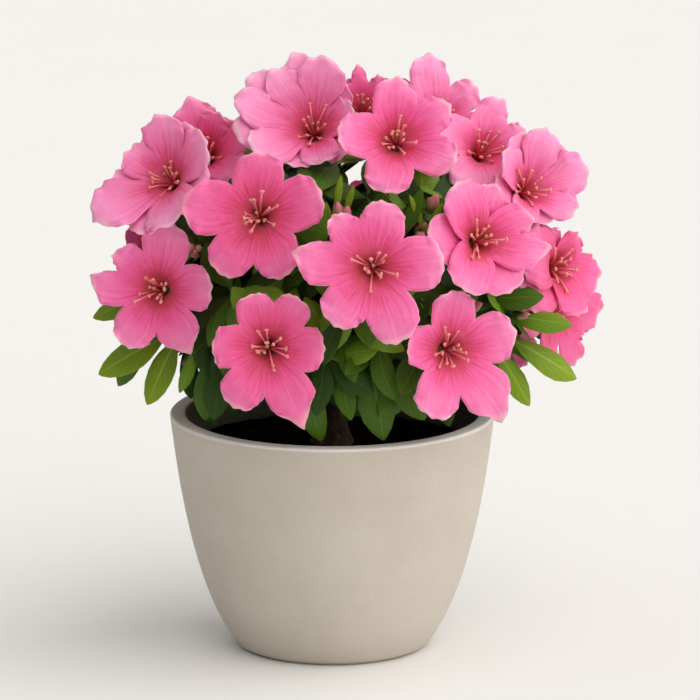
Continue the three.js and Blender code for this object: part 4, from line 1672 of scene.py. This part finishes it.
# Leaves that show by themselves: (stalk end, tip) in mm and its colour
showLeaves = [
    ((-72, -32, 149), (-105, -36, 135), 3), ((-68, -34, 150), (-84, -38, 119), 3),
    ((-60, -36, 146), (-69, -38, 124), 2), ((-74, -28, 170), (-107, -32, 160), 2),
    ((-54, -38, 144), (-57, -42, 112), 1), ((-78, -22, 150), (-100, -20, 124), 1),
    ((78, -36, 149), (111, -36, 134), 3), ((72, -40, 146), (90, -40, 119), 3),
    ((76, -40, 160), (104, -54, 162), 2), ((72, -30, 150), (98, -30, 139), 2),
    ((66, -26, 160), (92, -26, 160), 1), ((66, -44, 168), (92, -52, 173), 1),
    ((15, -56, 148), (25, -66, 110), 1), ((-10, -60, 140), (-3, -68, 110), 1),
    ((6, -58, 148), (8, -70, 120), 1), ((26, -56, 148), (42, -66, 120), 1),
    ((-2, -62, 150), (-8, -74, 124), 0), ((20, -66, 156), (28, -80, 134), 1),
    ((6, -64, 160), (10, -80, 140), 1), ((-48, -50, 146), (-52, -56, 116), 0),
    ((44, -50, 140), (52, -54, 112), 0), ((2, -56, 208), (3, -58, 226), 3),
    ((6, -56, 208), (8.5, -60, 222), 3), ((-2, -50, 202), (-11, -50, 230), 1),
    ((30, -58, 200), (38, -64, 222), 1), ((40, -60, 202), (36.5, -66, 218), 3),
    ((41, -60, 202), (47, -66, 216), 2), ((14, -50, 192), (20, -62, 218), 1),
    ((-6, -48, 190), (-2, -60, 214), 2), ((-58, -30, 136), (-52, -42, 112), 0),
    ((-66, -20, 142), (-62, -24, 118), 0), ((-56, -36, 160), (-60, -46, 138), 0),
    ((-46, -30, 140), (-42, -40, 114), 0), ((-60, -34, 172), (-66, -44, 152), 1),
    ((-54, -44, 152), (-46, -56, 130), 0), ((-52, -52, 150), (-44, -66, 128), 0),
    ((-40, -58, 162), (-48, -74, 142), 1), ((-54, -20, 192), (-74, -22, 204), 0),
    ((-22, -62, 170), (-14, -78, 150), 1),
]

# Where leaves stay away, so that light shows through or the pot's inside shows: (right, up, radius) in mm
clearSpots = [
    (9.5, 211.5, 7.5), (-101, 177, 4), (103, 192, 6), (-43.5, 230, 4), (86.5, 196.7, 3), (-55, 103, 5),
    (96, 124, 4), (-90, 118, 3), (-43.5, 238, 6), (106, 186, 6), (5, 258, 4),
]

# the darkest tint is mostly painted shade, dealt to leaves in the front's shade and inside the crown
leafTints = [
    {"name": "leavesDark", "near": rgb(0.014, 0.042, 0.003), "far": rgb(0.024, 0.062, 0.004),
     "rib": rgb(0.045, 0.09, 0.009), "edge": rgb(0.022, 0.052, 0.004)},
    {"name": "leavesMid", "near": rgb(0.034, 0.086, 0.005), "far": rgb(0.062, 0.138, 0.007),
     "rib": rgb(0.11, 0.20, 0.018), "edge": rgb(0.065, 0.125, 0.008)},
    {"name": "leavesFresh", "near": rgb(0.09, 0.185, 0.010), "far": rgb(0.165, 0.285, 0.015),
     "rib": rgb(0.25, 0.38, 0.04), "edge": rgb(0.19, 0.28, 0.02)},
    {"name": "leavesPale", "near": rgb(0.084, 0.165, 0.007), "far": rgb(0.215, 0.32, 0.013),
     "rib": rgb(0.34, 0.44, 0.05), "edge": rgb(0.30, 0.38, 0.03)},
]


# A leaf of unit length along Y, upper side towards Z, broader with each number
def leafShape(number, rng):
    rows = leaf["rows"]
    columns = leaf["columns"]
    half = leaf["half"] * (leaf["slimmest"] + leaf["broader"] * number / (leaf["shapes"] - 1))
    fold = leaf["fold"] * rng.uniform(*leaf["foldVary"])
    arch = leaf["arch"] * rng.uniform(*leaf["archVary"])
    sway = rng.uniform(-leaf["sway"], leaf["sway"])
    phase = rng.random()
    peak = leaf["base"] * (1 - leaf["base"]) ** leaf["tip"]
    verts = []
    for row in range(rows + 1):
        share = row / rows
        along = 0.5 - 0.5 * math.cos(math.pi * share) if share > 0.5 else share
        blade = max(0.0, (along - leaf["stalk"]) / (1 - leaf["stalk"]))
        width = half * blade * (1 - blade) ** leaf["tip"] / peak
        width = max(width, leaf["stalkHalf"] * (1 - along) + leaf["tipHalf"])
        for side in np.linspace(-1, 1, columns + 1):
            z = fold * abs(side) * width * 2 - arch * along * along
            z += leaf["wave"] * side * math.sin(fullTurn * (leaf["waves"] * along + phase)) * width / half
            z -= leaf["cupping"] * width * side ** 4
            verts.append((side * width + sway * math.sin(math.pi * along), along, z))
    lines = mapLines(columns, leaf["mapMargin"])
    return newMesh("leaf%d" % number, verts, *sheetFaces(lines, mapLines(rows, 0)))


def leafFits(base, tip, blooms):
    for share in leaf["checkedAt"]:
        place = base.lerp(tip, share)
        below = leaf["waist"] - place.z
        limit = leaf["upperLimit"] if below < 0 else leaf["lowerLimit"] + below * leaf["lowerSpread"]
        lowDown = place.z < pot["height"] + leaf["potClear"]
        if lowDown and math.hypot(place.x, place.y) > leaf["potInside"]:
            return False
        if domeShare(place) > limit or place.z < soil["top"] + leaf["soilClear"]:
            return False
        if showsInGap(place) or insideAny(place, blooms, leaf["bloomClear"]):
            return False
    return True


# The number of the leaf's tint: dark in the shade and inside, as painted shade, pale and fresh at the hem
def leafTint(base, tip, rng):
    share = domeShare(base.lerp(tip, leaf["tintAt"]))
    if tip.z < leaf["shadeTop"] and tip.y < leaf["shadeFront"] and abs(tip.x) < leaf["shadeWidth"]:
        where = "shade"
    elif share < leaf["insideShare"]:
        where = "inside"
    else:
        where = "hem" if base.z < leaf["hemTop"] and share > leaf["hemShare"] else "outside"
    draw = rng.random()
    return next(tint for most, tint in leaf["deals"][where] if draw < most)


def makeLeafMaterial(tint):
    material, tree, shader = newMaterial(tint["name"], roughness=0.5, specularIorLevel=0.17)
    place = ownMap(tree)
    lines = groupOf(tree, bladeGroup, map=place, cells=1.0, count=8.0, alongShare=1.0, acrossShare=-0.32,
                    wander=0.25, ribWidth=0.12, marginWidth=0.12)
    grow = timesPlus(tree, lines["along"], 0.75, times(tree, noiseOf(tree, place, 3.0), 0.25))
    shade = blendColour(tree, grow, tint["near"], tint["far"])
    shade = layOver(tree, shade, tint["rib"], lines["lines"], 0.16)
    shade = layOver(tree, shade, tint["edge"], lines["margin"], 0.6)
    shade = layOver(tree, shade, tint["rib"], lines["rib"], 0.55)
    height = timesPlus(tree, lines["lines"], -0.6, times(tree, lines["rib"], -1.0))
    rough = timesPlus(tree, lines["lines"], 0.1, 0.42)
    dress(tree, shader, shade, height, strength=0.3, depth=0.0004, rough=rough)
    return material


# Leaves around every cluster, dealt out by colour
def growLeaves(blooms, whorls, rng):
    spots = [[] for tint in leafTints]
    for whorl in whorls:
        axes = uprightFrame(whorl["axis"])
        start = rng.uniform(0, fullTurn)
        for number in range(rng.randint(*leaf["perWhorl"])):
            around = start + number * leaf["goldenTurn"]
            spread = math.radians(rng.uniform(*leaf["spread"]))
            length = rng.uniform(*leaf["length"])
            along = axes @ Vector((*onCircle(math.sin(spread), around), math.cos(spread)))
            base = whorl["at"] - whorl["axis"] * rng.uniform(0, leaf["behind"])
            upper = whorl["axis"] + skyward * leaf["upwards"] + jitter(rng, leaf["roll"])
            kind = rng.randrange(leaf["shapes"])
            tip = base + along * length
            tint = leafTint(base, tip, rng)
            if leafFits(base, tip, blooms):
                spots[tint].append((leafAxes(along, upper), base, [length] * 3, kind))
    return spots


def makeLeaves(blooms, whorls):
    rng = random.Random(leaf["seed"])
    spots = growLeaves(blooms, whorls, rng)
    for base, tip, tint in showLeaves:
        along = Vector(tip) - Vector(base)
        length = along.length
        upper = Vector(leaf["showUpper"]) + jitter(rng, leaf["showRoll"])
        # a short young leaf is slim too
        slim = max(leaf["slimLeast"], min(1, length / leaf["slimBelow"])) if tint > 1 else 1
        size = (length * slim, length, length)
        spots[tint].append((leafAxes(along, upper), base, size, rng.randrange(leaf["shapes"])))
    for tint, places in zip(leafTints, spots):
        shapeRng = random.Random(leaf["seed"] + 1)
        shapes = [leafShape(number, shapeRng) for number in range(leaf["shapes"])]
        scatterPiece(tint["name"], places, shapes, makeLeafMaterial(tint), massNames)
    print("leaves grown:", sum(len(places) for places in spots))


makeStage()
makePot()
makeSoil()
makeBark()
blooms = planBlooms()
whorls = planWhorls(blooms)
makeStalks(blooms, whorls)
makePetals(blooms)
makeStamens(blooms)
buds = makeBuds(blooms, whorls)
makeCalyxes(blooms, buds)
makeLeaves(blooms, whorls)
